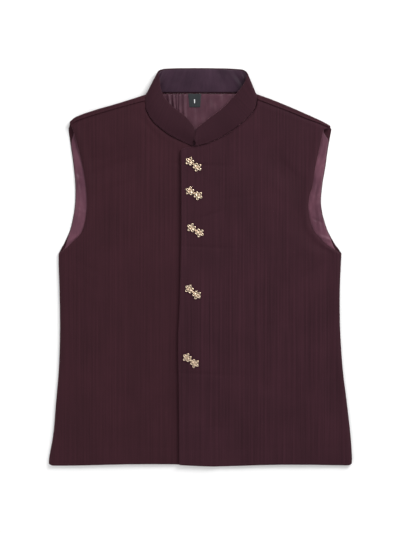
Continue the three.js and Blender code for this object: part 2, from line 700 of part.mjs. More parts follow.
// Brooch: two flowers with a boss each, and between them a link with a bead.
// The link meets each flower between two of its petals.
function broochGeometry() {
  const half = BROOCH_SPACING / 2;
  const depth = FLOWER.thickness;
  const flower = (x, turned) => {
    const settings = { depth, bevelEnabled: false, curveSegments: FLOWER_GRID.hole };
    const geometry = new THREE.ExtrudeGeometry(flowerShape(), settings);
    geometry.rotateZ(turned);
    geometry.translate(x, 0, 0);
    return toSolid(geometry);
  };
  const ball = (x, { radius, squash }, z) => {
    const geometry = new THREE.SphereGeometry(radius, BALL_GRID.round, BALL_GRID.down);
    geometry.rotateX(Math.PI / 2);
    geometry.scale(1, 1, squash);
    geometry.translate(x, 0, z);
    return toSolid(geometry);
  };
  const link = new THREE.CylinderGeometry(LINK.radius, LINK.radius, LINK.length, LINK_SIDES);
  link.rotateZ(Math.PI / 2);
  link.translate(0, 0, LINK.height);
  let solid = flower(-half, Math.PI / PETALS).add(flower(half, 0));
  solid = solid.add(toSolid(link)).add(ball(0, BEAD, BEAD.height));
  for (const x of [-half, half]) solid = solid.add(ball(x, BOSS, depth));
  return fromSolid(solid);
}

function material(name) {
  return new THREE.MeshStandardMaterial({ ...COLOURS[name] });
}

function piece(name, geometry, finish) {
  const mesh = new THREE.Mesh(geometry, material(finish));
  mesh.name = name;
  return mesh;
}

const waistcoat = new THREE.Group();
waistcoat.add(piece('back', backGeometry(), 'cloth'));
waistcoat.add(piece('back_lining', liningGeometry(), 'lining'));
waistcoat.add(piece('front_right', frontGeometry('right'), 'cloth'));
waistcoat.add(piece('front_left', frontGeometry('left'), 'cloth'));
waistcoat.add(piece('collar', collarGeometry(), 'cloth'));
waistcoat.add(piece('collar_facing', facingGeometry(), 'facing'));
waistcoat.add(piece('label', labelGeometry(), 'label'));

const brooch = broochGeometry();
BROOCHES.forEach(({ x, y, tilt }, i) => {
  const mesh = piece(`brooch_${i + 1}`, brooch, 'brass');
  mesh.rotation.z = THREE.MathUtils.degToRad(tilt);
  mesh.position.set(x, y, FRONT_REST + LAP_LIFT + FRONT_WALL / 2 + BROOCH_CLEARANCE);
  waistcoat.add(mesh);
});

export default waistcoat;
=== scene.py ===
# %% [markdown]
# A band-collar waistcoat, laid flat
#
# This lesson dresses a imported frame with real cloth. The frame is a set of plain solids at
# their true size: a back, its lining, two fronts that lap, a stand-up collar with its facing,
# a label and five metal fasteners. Each solid is replaced here by a finer piece in the same
# place. Everything is in metres, +Z is up and the garment lies on its back on the floor.

import math

import bpy
import numpy as np
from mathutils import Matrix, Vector


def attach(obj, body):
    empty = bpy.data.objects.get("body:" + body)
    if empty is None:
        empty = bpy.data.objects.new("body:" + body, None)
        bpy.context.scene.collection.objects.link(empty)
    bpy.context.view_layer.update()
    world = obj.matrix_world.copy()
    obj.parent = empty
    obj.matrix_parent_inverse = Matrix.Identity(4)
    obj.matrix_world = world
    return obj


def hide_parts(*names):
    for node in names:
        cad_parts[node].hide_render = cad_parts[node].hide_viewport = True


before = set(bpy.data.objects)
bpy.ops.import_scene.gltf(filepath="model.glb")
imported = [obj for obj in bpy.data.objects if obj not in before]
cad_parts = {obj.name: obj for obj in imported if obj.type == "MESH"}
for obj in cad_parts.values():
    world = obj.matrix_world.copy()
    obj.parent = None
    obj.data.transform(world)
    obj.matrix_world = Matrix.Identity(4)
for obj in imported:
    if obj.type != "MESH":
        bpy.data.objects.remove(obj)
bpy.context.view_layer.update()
MM = 0.001
print("solids:", sorted(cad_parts))

# %% [markdown]
# The camera
#
# The photograph looks straight down on the garment. A long lens far above the floor keeps the
# outline true, so the camera hangs over the middle of the picture with its top towards the
# collar. Its distance follows from the lens and from how much floor the picture takes in.

# %% Hang the camera over the garment
VIEW_HEIGHT = 959.4 * MM
VIEW_CENTRE = (-0.7 * MM, 1.2 * MM)
LENS_MM = 85.0
SENSOR_MM = 36.0
CLOTH_LEVEL = 6 * MM

camera_data = bpy.data.cameras.new("camera")
camera_data.lens = LENS_MM
camera_data.sensor_width = SENSOR_MM
camera = bpy.data.objects.new("camera", camera_data)
bpy.context.scene.collection.objects.link(camera)
camera_distance = VIEW_HEIGHT * LENS_MM / SENSOR_MM
camera.location = (*VIEW_CENTRE, CLOTH_LEVEL + camera_distance)
bpy.context.scene.camera = camera
print("camera is", round(camera_distance, 3), "m above the cloth")

# %% [markdown]
# The cutting sizes
#
# A tailor cuts from a table of sizes, and so does this script. The rows below are millimetres
# on the laid garment, with the wearer's right at negative X. They are the same sizes as the
# frame's, so each fine piece falls on its own solid.

# %% Sizes of the layers and of the outline
BACK_WALL = 1.6
LINING_WALL = 1.0
FRONT_WALL = 1.8
COLLAR_WALL = 2.0
FACING_WALL = 0.8
SEAM_GAP = 0.3
LAP_GAP = 0.5
BACK_MIDDLE = BACK_WALL / 2
LINING_MIDDLE = BACK_WALL + SEAM_GAP + LINING_WALL / 2
FRONT_REST = BACK_WALL + LINING_WALL + 2 * SEAM_GAP + FRONT_WALL / 2
LAP_LIFT = FRONT_WALL + LAP_GAP
SIDE_MIDDLE = (BACK_MIDDLE + FRONT_REST) / 2
SHOULDER_NECK, SHOULDER_TIP = 10.5, 8.5
SIDE_FOLD = 3.5
UNDERARM = 0.58


def table(columns, rows):
    """Columns of a table by name, each an array."""
    values = np.array(rows, dtype=float)
    return {name: values[:, i] for i, name in enumerate(columns.split())}


SIDE_SEAMS = table("y right left", [
    [-354, -272.5, 272], [-343.5, -271.3, 272.5], [-300, -264.2, 269.6],
    [-243, -259.4, 263.2], [-185, -254.5, 256.1], [-113, -252.2, 251.3],
    [-41, -253.3, 250.7], [9, -254.9, 252.7], [24.4, -254.6, 253.6],
])
BACK_ARMHOLES = table("y right left", [
    [24.4, -254.6, 253.6], [45.3, -244.1, 239.9], [70.5, -233.6, 227.2],
    [110, -226.1, 217.5], [146, -225.2, 219.3], [180.3, -228.1, 225],
    [211, -232.2, 229.2], [232.5, -235.3, 233], [249, -237.2, 235.8],
])
FRONT_ARMHOLES = table("x_right y_right x_left y_left", [
    [-254.6, 24.4, 253.6, 24.4], [-241.9, 34.1, 229, 39.3], [-227.5, 47.4, 212.6, 55.5],
    [-213.1, 63.8, 202.3, 69.9], [-207, 84.1, 196.2, 90.3], [-203.9, 106.6, 194.2, 110.8],
    [-204, 127, 196.2, 129.2], [-207, 155.6, 201.4, 145.5], [-211.1, 180.1, 206.5, 180.1],
    [-218.3, 210.7, 212.6, 208.7], [-223.4, 229.1, 217.6, 231], [-230, 251, 221.5, 247],
])
HEM = table("x y", [
    [-272.5, -354], [-266, -356.6], [-224, -356.7], [-134, -354.6], [-50, -354.6],
    [-26, -356.3], [10, -358], [30, -358.3], [64, -357.4], [136, -355.3],
    [190, -355.3], [250, -356.2], [267, -356], [272, -354],
])
SHOULDERS = table("x_right fold_right seam_right x_left fold_left seam_left", [
    [-234.5, 261.8, 257.2, 233.2, 254.4, 250.8], [-224, 270.2, 262.9, 219, 262.2, 257.2],
    [-188, 283, 275, 190, 275.4, 267.9], [-152, 293.3, 285.4, 160, 288.4, 280],
    [-116, 304.5, 295.2, 130, 300.5, 291.3], [-98.4, 310.2, 299.8, 101.7, 310.8, 302.2],
])
BACK_NECK = [[-91.5, 309.4], [-80, 312.4], [-62, 313.2], [0, 313.4], [64, 313.2],
             [84, 312.2], [94.5, 309.6]]
UNDERLAP_EDGE = [[4, -358], [6, -130], [8, 60], [9, 213.5]]
LAP_EDGE = [[-37.3, -355.4], [-38.2, -220], [-39.4, -130], [-36.8, -70], [-34.4, 60]]
LAP_CORNER = [[-34.8, 206.5], [-33.8, 211.4], [-29.5, 213.9], [-18, 215.9]]
# LIES: this line of the foot lies on the front, at the height of the front
LIES = np.nan
COLLAR = table("foot_x foot_y foot_z top_x top_y top_z", [
    [-12.8, 218.9, LIES, -9.5, 247, 9], [-20.5, 222.2, LIES, -14.2, 254.6, 9.4],
    [-34.2, 228.2, LIES, -25.9, 269.2, 10], [-59.6, 241.8, LIES, -45.7, 284.6, 11],
    [-83.8, 261.6, LIES, -63.5, 302.4, 12.2], [-95.6, 281.5, LIES, -71.3, 319.5, 13.2],
    [-97.4, 293, 10.2, -72.9, 331, 13.8], [-97.4, 303, 10.4, -74.4, 341, 13.6],
    [-97.2, 308.4, 8.6, -75.8, 347.5, 11.6], [-96.2, 311.4, 5.4, -75.4, 352.2, 7.4],
    [-93.2, 313.2, 2.4, -70.4, 355.6, 3], [-86, 314, 1.1, -61, 357.4, 1.15],
    [-60, 314.4, 1, -38, 358.2, 1], [-1, 314.5, 1, 4, 358.4, 1],
    [60, 314.4, 1, 44, 357.9, 1], [88, 314, 1.1, 66, 356.8, 1.15],
    [95.8, 313.4, 2.4, 76.5, 355.2, 3], [99.2, 311.4, 5.4, 82.8, 350.8, 7.4],
    [100.2, 308.4, 8.6, 83.9, 345.6, 11.6], [100.3, 303, 10.4, 82.6, 338.5, 13.6],
    [99.6, 294, 10.2, 78.2, 328.5, 13.8], [96.9, 285.2, LIES, 69.6, 316.4, 13.2],
    [88, 273.2, LIES, 57.5, 303.6, 12.4], [66.2, 253.4, LIES, 41, 286.2, 11.4],
    [41, 236.7, LIES, 17.8, 268.6, 10.6], [16, 224.9, LIES, 2.2, 256.6, 10.2],
    [-2, 219.9, LIES, -4.4, 251, 10], [-10.2, 219, LIES, -7.1, 247, 10],
])
print("rows read:", len(SIDE_SEAMS["y"]), "side,", len(COLLAR["foot_x"]), "collar")

# %% [markdown]
# Smooth lines and panels
#
# A curve through a few points gives each edge. A panel is a grid of straight lines from its
# hem to its top, bent near each side so that it follows that side's curve, which is how a
# pattern cutter squares a block and then shapes its edges.

# %% Helpers for curves and panels


def smooth_step(value):
    t = np.clip(value, 0, 1)
    return t * t * (3 - 2 * t)


def smooth_value(keys, values, at):
    """Smooth line through values at rising keys."""
    keys, values, at = (np.asarray(a, dtype=float) for a in (keys, values, at))
    slopes = np.empty_like(values)
    slopes[1:-1] = (values[2:] - values[:-2]) / (keys[2:] - keys[:-2])
    slopes[0] = (values[1] - values[0]) / (keys[1] - keys[0])
    slopes[-1] = (values[-1] - values[-2]) / (keys[-1] - keys[-2])
    i = np.clip(np.searchsorted(keys, at) - 1, 0, len(keys) - 2)
    span = keys[i + 1] - keys[i]
    t = np.clip((at - keys[i]) / span, 0, 1)
    return ((2 * t**3 - 3 * t**2 + 1) * values[i] + (t**3 - 2 * t**2 + t) * span * slopes[i]
            + (3 * t**2 - 2 * t**3) * values[i + 1] + (t**3 - t**2) * span * slopes[i + 1])


def plan_curve(points):
    """Smooth plan curve through points, by its share of the length."""
    points = np.array(points, dtype=float)
    steps = np.hypot(*np.diff(points, axis=0).T)
    keys = np.concatenate([[0], np.cumsum(steps)]) / steps.sum()
    return lambda share: np.stack([smooth_value(keys, points[:, axis], share) for axis in (0, 1)], -1)


def joined(first, second, split):
    """Two curves end to end, the first up to the split."""

    def curve(share):
        share = np.asarray(share, dtype=float)
        low = first(np.clip(share / split, 0, 1))
        high = second(np.clip((share - split) / (1 - split), 0, 1))
        return np.where((share < split)[..., None], low, high)

    return curve


def panel_plan(hem, top, right, left, reach):
    """Plan of a panel from its four edges, each side bending only the part within its reach."""

    def off_line(side, v):
        return side(v) - (1 - v)[..., None] * side(np.zeros(1)) - v[..., None] * side(np.ones(1))

    def plan(u, v):
        u, v = np.broadcast_arrays(np.asarray(u, float), np.asarray(v, float))
        bend = np.clip(1 - u / reach, 0, None) ** 2
        bend_back = np.clip(1 - (1 - u) / reach, 0, None) ** 2
        return ((1 - v)[..., None] * hem(u) + v[..., None] * top(u)
                + bend[..., None] * off_line(right, v) + bend_back[..., None] * off_line(left, v))

    return plan


def columns_xy(sizes, x, y):
    return np.stack([sizes[x], sizes[y]], -1)


def hem_between(x_from, x_to, lift=0.0):
    def curve(share):
        x = x_from + (x_to - x_from) * np.asarray(share, dtype=float)
        return np.stack([x, smooth_value(HEM["x"], HEM["y"], x) + lift], -1)

    return curve


def shoulder_line(side, line, shift=0.0):
    points = columns_xy(SHOULDERS, f"x_{side}", f"{line}_{side}")
    return plan_curve(points + [0, shift])


print("half way up the right side seam, mm:",
      plan_curve(columns_xy(SIDE_SEAMS, "right", "y"))(0.5).round(1))

# %% [markdown]
# How high the cloth lies
#
# Layers that lie on each other still hold a little air. The fronts rest on the lining at their edges, crown
# softly in between, rise towards the shoulder where the cloth turns over, and the left front steps up where
# it laps over the right one. Creases come on top of that as soft ridges and troughs with their own length,
# width and height, each given in its own row.

# %% Heights of the fronts
CROWN = 3.5
CROWN_RISE = 55
HEM_CROWN = 0.3
SHOULDER_RISE = 85
TIP_FROM, TIP_LENGTH = 95, 135
PLACKET_HALF = 26
LAP_START, LAP_LENGTH = 14, 22
CENTRE_X = -12
HEM_Y = SIDE_SEAMS["y"][0]
UNDERARM_Y = SIDE_SEAMS["y"][-1]

CREASE = "x1 y1 x2 y2 half_width height"
FRONT_TROUGHS = table(CREASE, [
    [-222, 172, -92, 214, 30, -3.2], [-150, 100, -70, 150, 24, -1.2],
    [196, 130, 110, 206, 30, -2.6], [60, -200, 200, -236, 26, -1.2],
    [-70, -262, -190, -214, 26, -1.2],
])
FRONT_CREASES = table(CREASE, [
    [-58, 187, 78, 181, 4.5, -1.2], [-56, 39, 80, 33, 5, -1.1], [-60, -190, 76, -195, 5.5, -1],
    [-14, 84, 46, 104, 5, -1.2],
    [-50, -60, 62, -55, 6, -0.45], [-60, -292, 76, -286, 6, -0.45], [20, 120, 120, 132, 7, -0.45],
    [-214, 160, -98, 204, 13, -2.1], [-206, 136, -108, 172, 13, 1.5], [-120, 282, -70, 226, 9, -0.9],
    [-176, 252, -130, 200, 10, -0.45], [-236, 18, -170, -18, 9, -0.6], [-240, -14, -182, -60, 10, 0.4],
    [236, 16, 176, -26, 9, -0.6], [240, -20, 190, -70, 10, 0.4], [186, 150, 128, 210, 9, -0.5],
    [150, 262, 112, 214, 9, -0.45], [-150, -120, -110, -300, 12, -0.45], [-210, -180, -196, -340, 12, 0.5],
    [-86, -40, -92, -240, 14, 0.4], [96, 60, 104, -150, 14, -0.45], [166, -40, 182, -260, 14, 0.5],
    [222, -150, 236, -340, 12, -0.45], [126, -240, 132, -350, 12, 0.45], [-40, -250, -180, -268, 10, -0.35],
    [60, -110, 190, -96, 10, -0.35], [90, 4, 210, 22, 9, -0.32],
])


def crease_height(sizes, x, y):
    """Sum of soft ridges and troughs, each fading to its ends and to both sides."""
    total = np.zeros(np.broadcast(x, y).shape)
    for i in range(len(sizes["x1"])):
        start = np.array([sizes["x1"][i], sizes["y1"][i]])
        along = np.array([sizes["x2"][i], sizes["y2"][i]]) - start
        length = np.hypot(*along)
        along = along / length
        share = ((x - start[0]) * along[0] + (y - start[1]) * along[1]) / length
        off = np.abs((x - start[0]) * along[1] - (y - start[1]) * along[0]) / sizes["half_width"][i]
        bump = np.sin(np.pi * np.clip(share, 0, 1)) * (1 + np.cos(np.pi * np.clip(off, 0, 1))) / 2
        total = total + sizes["height"][i] * bump
    return total


def soft_lines(lines, distance):
    """Sum of soft lines beside an edge, each with its height, its distance from the edge and its width."""
    return sum(height * np.exp(-(((distance - place) / width) ** 2)) for height, place, width in lines)


def uneven(x, y, size, seed):
    """Slow unevenness without a pattern, from -1 to 1, for cloth that is never quite flat."""
    draw = np.random.default_rng(seed)
    total = np.zeros(np.broadcast(x, y).shape)
    waves = 7
    for _ in range(waves):
        angle = draw.uniform(0, 2 * np.pi)
        wave = 2 * np.pi / (size * draw.uniform(0.7, 1.6))
        total = total + np.sin(wave * (x * np.cos(angle) + y * np.sin(angle)) + draw.uniform(0, 2 * np.pi))
    return total / waves * 1.6


def edge_x(points, y):
    x, keys = np.array(points, dtype=float).T
    return smooth_value(keys, x, y)


def lap_lift(x, y):
    return LAP_LIFT * (1 - smooth_step((x - edge_x(UNDERLAP_EDGE, y) - LAP_START) / LAP_LENGTH))


def outer_edge(side, y):
    low = smooth_value(SIDE_SEAMS["y"], SIDE_SEAMS[side], y)
    high = smooth_value(FRONT_ARMHOLES[f"y_{side}"], FRONT_ARMHOLES[f"x_{side}"], y)
    return np.where(y < UNDERARM_Y, low, high)


def seam_y(x):
    right = smooth_value(SHOULDERS["x_right"], SHOULDERS["seam_right"], x)
    left = smooth_value(SHOULDERS["x_left"][::-1], SHOULDERS["seam_left"][::-1], x)
    return np.where(x < CENTRE_X, right, left)


def front_height(x, y):
    """Middle of the front's wall over the floor, without the lap."""
    below = seam_y(x) - y
    to_tip = smooth_step((np.abs(x) - TIP_FROM) / TIP_LENGTH)
    shoulder = SHOULDER_NECK + (SHOULDER_TIP - SHOULDER_NECK) * to_tip
    rise = (shoulder - FRONT_REST) * smooth_step(1 - below / SHOULDER_RISE)
    edge = np.where(x < CENTRE_X, outer_edge("right", y), outer_edge("left", y))
    inside = (smooth_step(np.abs(x - edge) / CROWN_RISE)
              * smooth_step((np.abs(x - CENTRE_X) - PLACKET_HALF) / CROWN_RISE))
    low = HEM_CROWN + (1 - HEM_CROWN) * smooth_step((y - HEM_Y) / 120)
    crown = CROWN * inside * low * smooth_step(below / 60)
    dip = np.minimum(-crease_height(FRONT_TROUGHS, x, y), crown)
    return FRONT_REST + rise + crown - dip


print("front's height at the chest, mm:", round(float(front_height(np.float64(-120), np.float64(60))), 2))

# %% [markdown]
# From a surface to cloth
#
# Cloth has two faces and a turned edge. The wall below takes the middle surface as a grid,
# moves it half the thickness to each side along its normals and closes the edge with a round
# turn, so that a hem or a lap looks folded and not cut. The flat pattern's own place goes into
# a UV map in metres, so that the weave runs with the grain.

# %% Wall of cloth from a surface
NORMAL_STEP = 1e-4
EDGE_ROUND = 0.42


def surface_normals(surface, u, v):
    low_u, high_u = np.clip(u - NORMAL_STEP, u.min(), None), np.clip(u + NORMAL_STEP, None, u.max())
    low_v, high_v = np.clip(v - NORMAL_STEP, v.min(), None), np.clip(v + NORMAL_STEP, None, v.max())
    across = surface(high_u[:, None], v[None, :]) - surface(low_u[:, None], v[None, :])
    along = surface(u[:, None], high_v[None, :]) - surface(u[:, None], low_v[None, :])
    normal = np.cross(across, along)
    return normal / np.linalg.norm(normal, axis=-1, keepdims=True)


def cloth_wall(name, surface, columns, rows, thickness, offset=0.0, keep=None, grain=None, relief=None):
    """Closed wall of cloth as a new object. relief(u, v) moves the middle surface along its normals."""
    u, v = np.array(columns, dtype=float), np.array(rows, dtype=float)
    middle = surface(u[:, None], v[None, :])
    normal = surface_normals(surface, u, v)
    upward = -1.0 if normal[len(u) // 2, len(v) // 2, 2] < 0 else 1.0
    move = np.full(middle.shape[:2], float(offset))
    if relief is not None:
        move = move + upward * relief(middle, u[:, None], v[None, :])
    middle = middle + normal * move[..., None]
    cells = np.ones((len(u) - 1, len(v) - 1), dtype=bool)
    if keep is not None:
        cells = keep(u, v)
    index = np.arange(len(u) * len(v)).reshape(len(u), len(v))
    i, j = np.nonzero(cells)
    ring = np.stack([index[i, j], index[i + 1, j], index[i + 1, j + 1], index[i, j + 1]], 1)
    used = np.unique(ring)
    number = np.full(index.size, -1)
    number[used] = np.arange(len(used))
    ring = number[ring]
    points = middle.reshape(-1, 3)[used]
    normals = normal.reshape(-1, 3)[used]
    count = len(used)
    edges = {}
    for a, b in np.concatenate([ring[:, [k, (k + 1) % 4]] for k in range(4)]).tolist():
        if (b, a) in edges:
            del edges[(b, a)]
        else:
            edges[(a, b)] = True
    outward = np.zeros((count, 3))
    for a, b in edges:
        way = np.cross(points[b] - points[a], normals[a])
        way = way / max(np.linalg.norm(way), 1e-9)
        outward[a] += way
        outward[b] += way
    rim = sorted({a for a, _ in edges})
    rim_number = {a: 2 * count + k for k, a in enumerate(rim)}
    size = np.linalg.norm(outward[rim], axis=1, keepdims=True)
    rim_points = points[rim] + outward[rim] / np.maximum(size, 1e-9) * thickness * EDGE_ROUND
    upper = points + normals * thickness / 2
    lower = points - normals * thickness / 2
    faces = ring.tolist() + (ring[:, ::-1] + count).tolist()
    for a, b in edges:
        faces.append([a, rim_number[a], rim_number[b], b])
        faces.append([rim_number[a], a + count, b + count, rim_number[b]])
    mesh = bpy.data.meshes.new(name)
    mesh.from_pydata((np.concatenate([upper, lower, rim_points]) * MM).tolist(), [], faces)
    flat = middle[..., :2] if grain is None else grain(u[:, None], v[None, :])
    flat = np.broadcast_to(flat, middle.shape[:2] + (2,)).reshape(-1, 2)[used] * MM
    flat = np.concatenate([flat, flat, flat[rim]])
    corners = np.empty(len(mesh.loops), dtype=np.int32)
    mesh.loops.foreach_get("vertex_index", corners)
    mesh.uv_layers.new(name="grain").data.foreach_set("uv", flat[corners].astype(np.float32).ravel())
    mesh.polygons.foreach_set("use_smooth", [True] * len(mesh.polygons))
    mesh.update()
    piece = bpy.data.objects.new(name, mesh)
    bpy.context.scene.collection.objects.link(piece)
    return piece


def grid_lines(*stops):
    """Rising grid lines from a stop, the steps to the next stop, that stop, and so on."""
    runs = [np.linspace(stops[k], stops[k + 2], stops[k + 1] + 1) for k in range(0, len(stops) - 2, 2)]
    return np.unique(np.round(np.concatenate(runs), 9))


def cloth_area(piece):
    """Area of one face of the wall in square metres, as it lies."""
    return sum(face.area for face in piece.data.polygons) / 2


print("the turned edge stands out by", EDGE_ROUND, "of the cloth's thickness")

# %% [markdown]
# The finishes
#
# The suiting is a dark maroon with a self stripe: threads of the same colour that stand up in
# uneven lines along the grain. Waves of four spacings and a stretched noise give the lines,
# patches lose them here and there, a fine crossed wave is the weave, and a few slubs catch
# the light.
# The same pattern drives colour and bump: the raised cords and threads are painted lighter, a painted
# highlight, and the slow cloud in it is a random tone of the yarn.

# %% Short ways to make nodes


def new_material(name):
    material = bpy.data.materials.new(name)
    material.use_nodes = True
    return material, material.node_tree, material.node_tree.nodes["Principled BSDF"]


def set_inputs(tree, node, values):
    """Each input, by name or number, takes a value or the output of another node."""
    for name, value in values.items():
        if isinstance(value, bpy.types.NodeSocket):
            tree.links.new(value, node.inputs[name])
        else:
            node.inputs[name].default_value = value
    return node


def add_node(tree, kind, values=None, **settings):
    node = tree.nodes.new(kind)
    for name, value in settings.items():
        setattr(node, name, value)
    return set_inputs(tree, node, values or {})


def math_node(tree, operation, first, second):
    return add_node(tree, "ShaderNodeMath", {0: first, 1: second}, operation=operation).outputs["Value"]


def weighted(tree, *parts):
    """Sum of values with their weights."""
    products = [math_node(tree, "MULTIPLY", value, weight) for value, weight in parts]
    total = products[0]
    for product in products[1:]:
        total = math_node(tree, "ADD", total, product)
    return total


def grain_map(tree):
    return add_node(tree, "ShaderNodeUVMap", uv_map="grain").outputs["UV"]


def drawn_out(tree, grain, stretch):
    """The grain's coordinates, drawn out along the warp."""
    values = {"Vector": grain, "Scale": (1.0, 1.0 / stretch, 1.0)}
    return add_node(tree, "ShaderNodeMapping", values).outputs["Vector"]


def stretched_noise(tree, grain, stretch, scale, detail=2.0, roughness=0.5):
    """Noise drawn out along the grain; stretch is how many times longer than wide."""
    values = {"Vector": drawn_out(tree, grain, stretch), "Scale": scale, "Detail": detail,
              "Roughness": roughness}
    return add_node(tree, "ShaderNodeTexNoise", values).outputs["Fac"]


def ramp_node(tree, factor, stops):
    """Colour ramp from (place, colour) stops."""
    node = add_node(tree, "ShaderNodeValToRGB", {"Fac": factor})
    elements = node.color_ramp.elements
    while len(elements) < len(stops):
        elements.new(0.5)
    for element, (place, colour) in zip(elements, stops):
        element.position = place
        element.color = (*colour, 1.0)
    return node.outputs["Color"]


FIRST_COLOUR, SECOND_COLOUR, MIXED_COLOUR = 6, 7, 2


def mixed(tree, blend, first, second, factor=1.0):
    """Two colours mixed by a blend mode."""
    node = add_node(tree, "ShaderNodeMix", data_type="RGBA", blend_type=blend)
    set_inputs(tree, node, {"Factor": factor, FIRST_COLOUR: first, SECOND_COLOUR: second})
    return node.outputs[MIXED_COLOUR]


def bump(tree, height, strength, distance, **below):
    values = {"Height": height, "Strength": strength, "Distance": distance, **below}
    return add_node(tree, "ShaderNodeBump", values).outputs["Normal"]


WAVE_TURNS = math.tau / 20


def bands(tree, vector, direction, spacing, wander=0.0):
    """Rounded lines at a spacing in metres; wander makes it uneven."""
    values = {"Vector": vector, "Scale": WAVE_TURNS / spacing, "Distortion": wander, "Detail": 1.0,
              "Detail Scale": 1.6}
    return add_node(tree, "ShaderNodeTexWave", values, wave_type="BANDS",
                    bands_direction=direction).outputs["Fac"]


print("a wave node of scale", round(WAVE_TURNS / MM), "draws lines 1 mm apart")

# %% Materials of the suiting
BLACK, WHITE = (0, 0, 0), (1, 1, 1)
# Cords: spacing in mm, how far they wander, weight
CORDS = [(8.2, 3.8, 0.15), (5.7, 3.2, 0.16), (12.4, 4.2, 0.07), (4.3, 2.6, 0.11)]
CORD_STRETCH = 220
PATCH_STRETCH, PATCH_SCALE = 5.0, 132.0
CORD_PATCH = [(0.45, BLACK), (0.62, WHITE)]
# Noises: stretch along the grain, scale, detail and roughness where they differ
FINE_CORDS, BROAD_CORDS = (70, 290, 2.0, 0.7), (30, 26, 1.0)
THREADS, CLOUD, SLUBS = (40, 1000, 1.0), (1.3, 16), (0.3, 300, 0.0)
SLUB_STOPS, SLUB_GAIN = [(0.83, BLACK), (0.88, WHITE)], 1.7
THREAD = 0.7
WEAVE_BUMP = 0.10
MAROON = (0.0328, 0.0090, 0.0139)
MAROON_COOL = (0.0314, 0.0090, 0.0146)
# Painted shade: the collar's suiting is a darker copy of the same cloth.
MAROON_COLLAR_SHADED = (0.0276, 0.0078, 0.0131)


def suiting(name, mean, highlight_and_tone, cord_bump):
    """Maroon cloth with cords of four spacings, each strong in some places and lost in others."""
    material, tree, shader = new_material(name)
    grain = grain_map(tree)
    warp = drawn_out(tree, grain, CORD_STRETCH)
    cords = weighted(tree, (stretched_noise(tree, grain, *FINE_CORDS), 0.60),
                     (stretched_noise(tree, grain, *BROAD_CORDS), 0.14))
    for spacing, wander, weight in CORDS:
        line = math_node(tree, "SUBTRACT", bands(tree, warp, "X", spacing * MM, wander), 0.5)
        patch = stretched_noise(tree, grain, PATCH_STRETCH, PATCH_SCALE / spacing, 1.0)
        line = math_node(tree, "MULTIPLY", line, ramp_node(tree, patch, CORD_PATCH))
        cords = math_node(tree, "ADD", cords, math_node(tree, "MULTIPLY", line, weight))
    threads = stretched_noise(tree, grain, *THREADS)
    cloud = stretched_noise(tree, grain, *CLOUD)
    pattern = weighted(tree, (cords, 0.75), (cloud, 0.34), (threads, 0.14))
    # Painted highlight: where the cords and threads stand up the colour is lighter; the slow cloud is a
    # random tone.
    dark, light = ([channel * gain for channel in mean] for gain in (1 - highlight_and_tone, 1 + highlight_and_tone))
    colour = ramp_node(tree, pattern, [(0.33, dark), (0.67, light)])
    knots = ramp_node(tree, stretched_noise(tree, grain, *SLUBS), SLUB_STOPS)
    knot_colour = (*[channel * SLUB_GAIN for channel in light], 1.0)
    relief = math_node(tree, "ADD", cords, math_node(tree, "MULTIPLY", threads, 0.25))
    crossed = math_node(tree, "MULTIPLY", bands(tree, grain, "X", THREAD * MM),
                        bands(tree, grain, "Y", THREAD * MM))
    raised = bump(tree, relief, cord_bump, 1.0 * MM)
    set_inputs(tree, shader, {
        "Base Color": mixed(tree, "MIX", colour, knot_colour, knots),
        "Normal": bump(tree, crossed, WEAVE_BUMP, 0.12 * MM, Normal=raised),
        "Roughness": 0.80, "Specular IOR Level": 0.12,
        "Sheen Weight": 0.28, "Sheen Roughness": 0.32, "Sheen Tint": (0.75, 0.35, 0.42, 1.0),
    })
    return material


maroon = suiting("maroon_suiting", MAROON, highlight_and_tone=0.20, cord_bump=0.28)
maroon_ribbed = suiting("maroon_suiting_ribbed", MAROON_COOL, highlight_and_tone=0.26, cord_bump=0.36)
# The collar takes the darker copy, a painted shade, with weaker cords.
maroon_plain = suiting("maroon_suiting_collar_shaded", MAROON_COLLAR_SHADED, highlight_and_tone=0.12, cord_bump=0.12)
print("suitings:", maroon.name, maroon_ribbed.name, maroon_plain.name)

# %% [markdown]
# Satin is smooth floats of thread, so it shines along soft folds. Its own colour hardly changes, and the
# roughness varies a little where it has been handled. Far out to the sides the lining's colour is made
# lighter, a painted light on the armhole strips. The collar's facing is the same kind of cloth in dark
# purple, and the label is a tight black ribbon weave.

# %% Materials of the satins and of the label
SATIN_CLOUD, SATIN_THREADS = (1.5, 22, 3.0), (30, 1300, 1.0)
CLOUD_ROUGHNESS = 0.16
# Where the painted light on the satin starts and where it is full, in metres out from the middle
PAINTED_LIGHT_FROM, PAINTED_LIGHT_TO = 0.14, 0.19


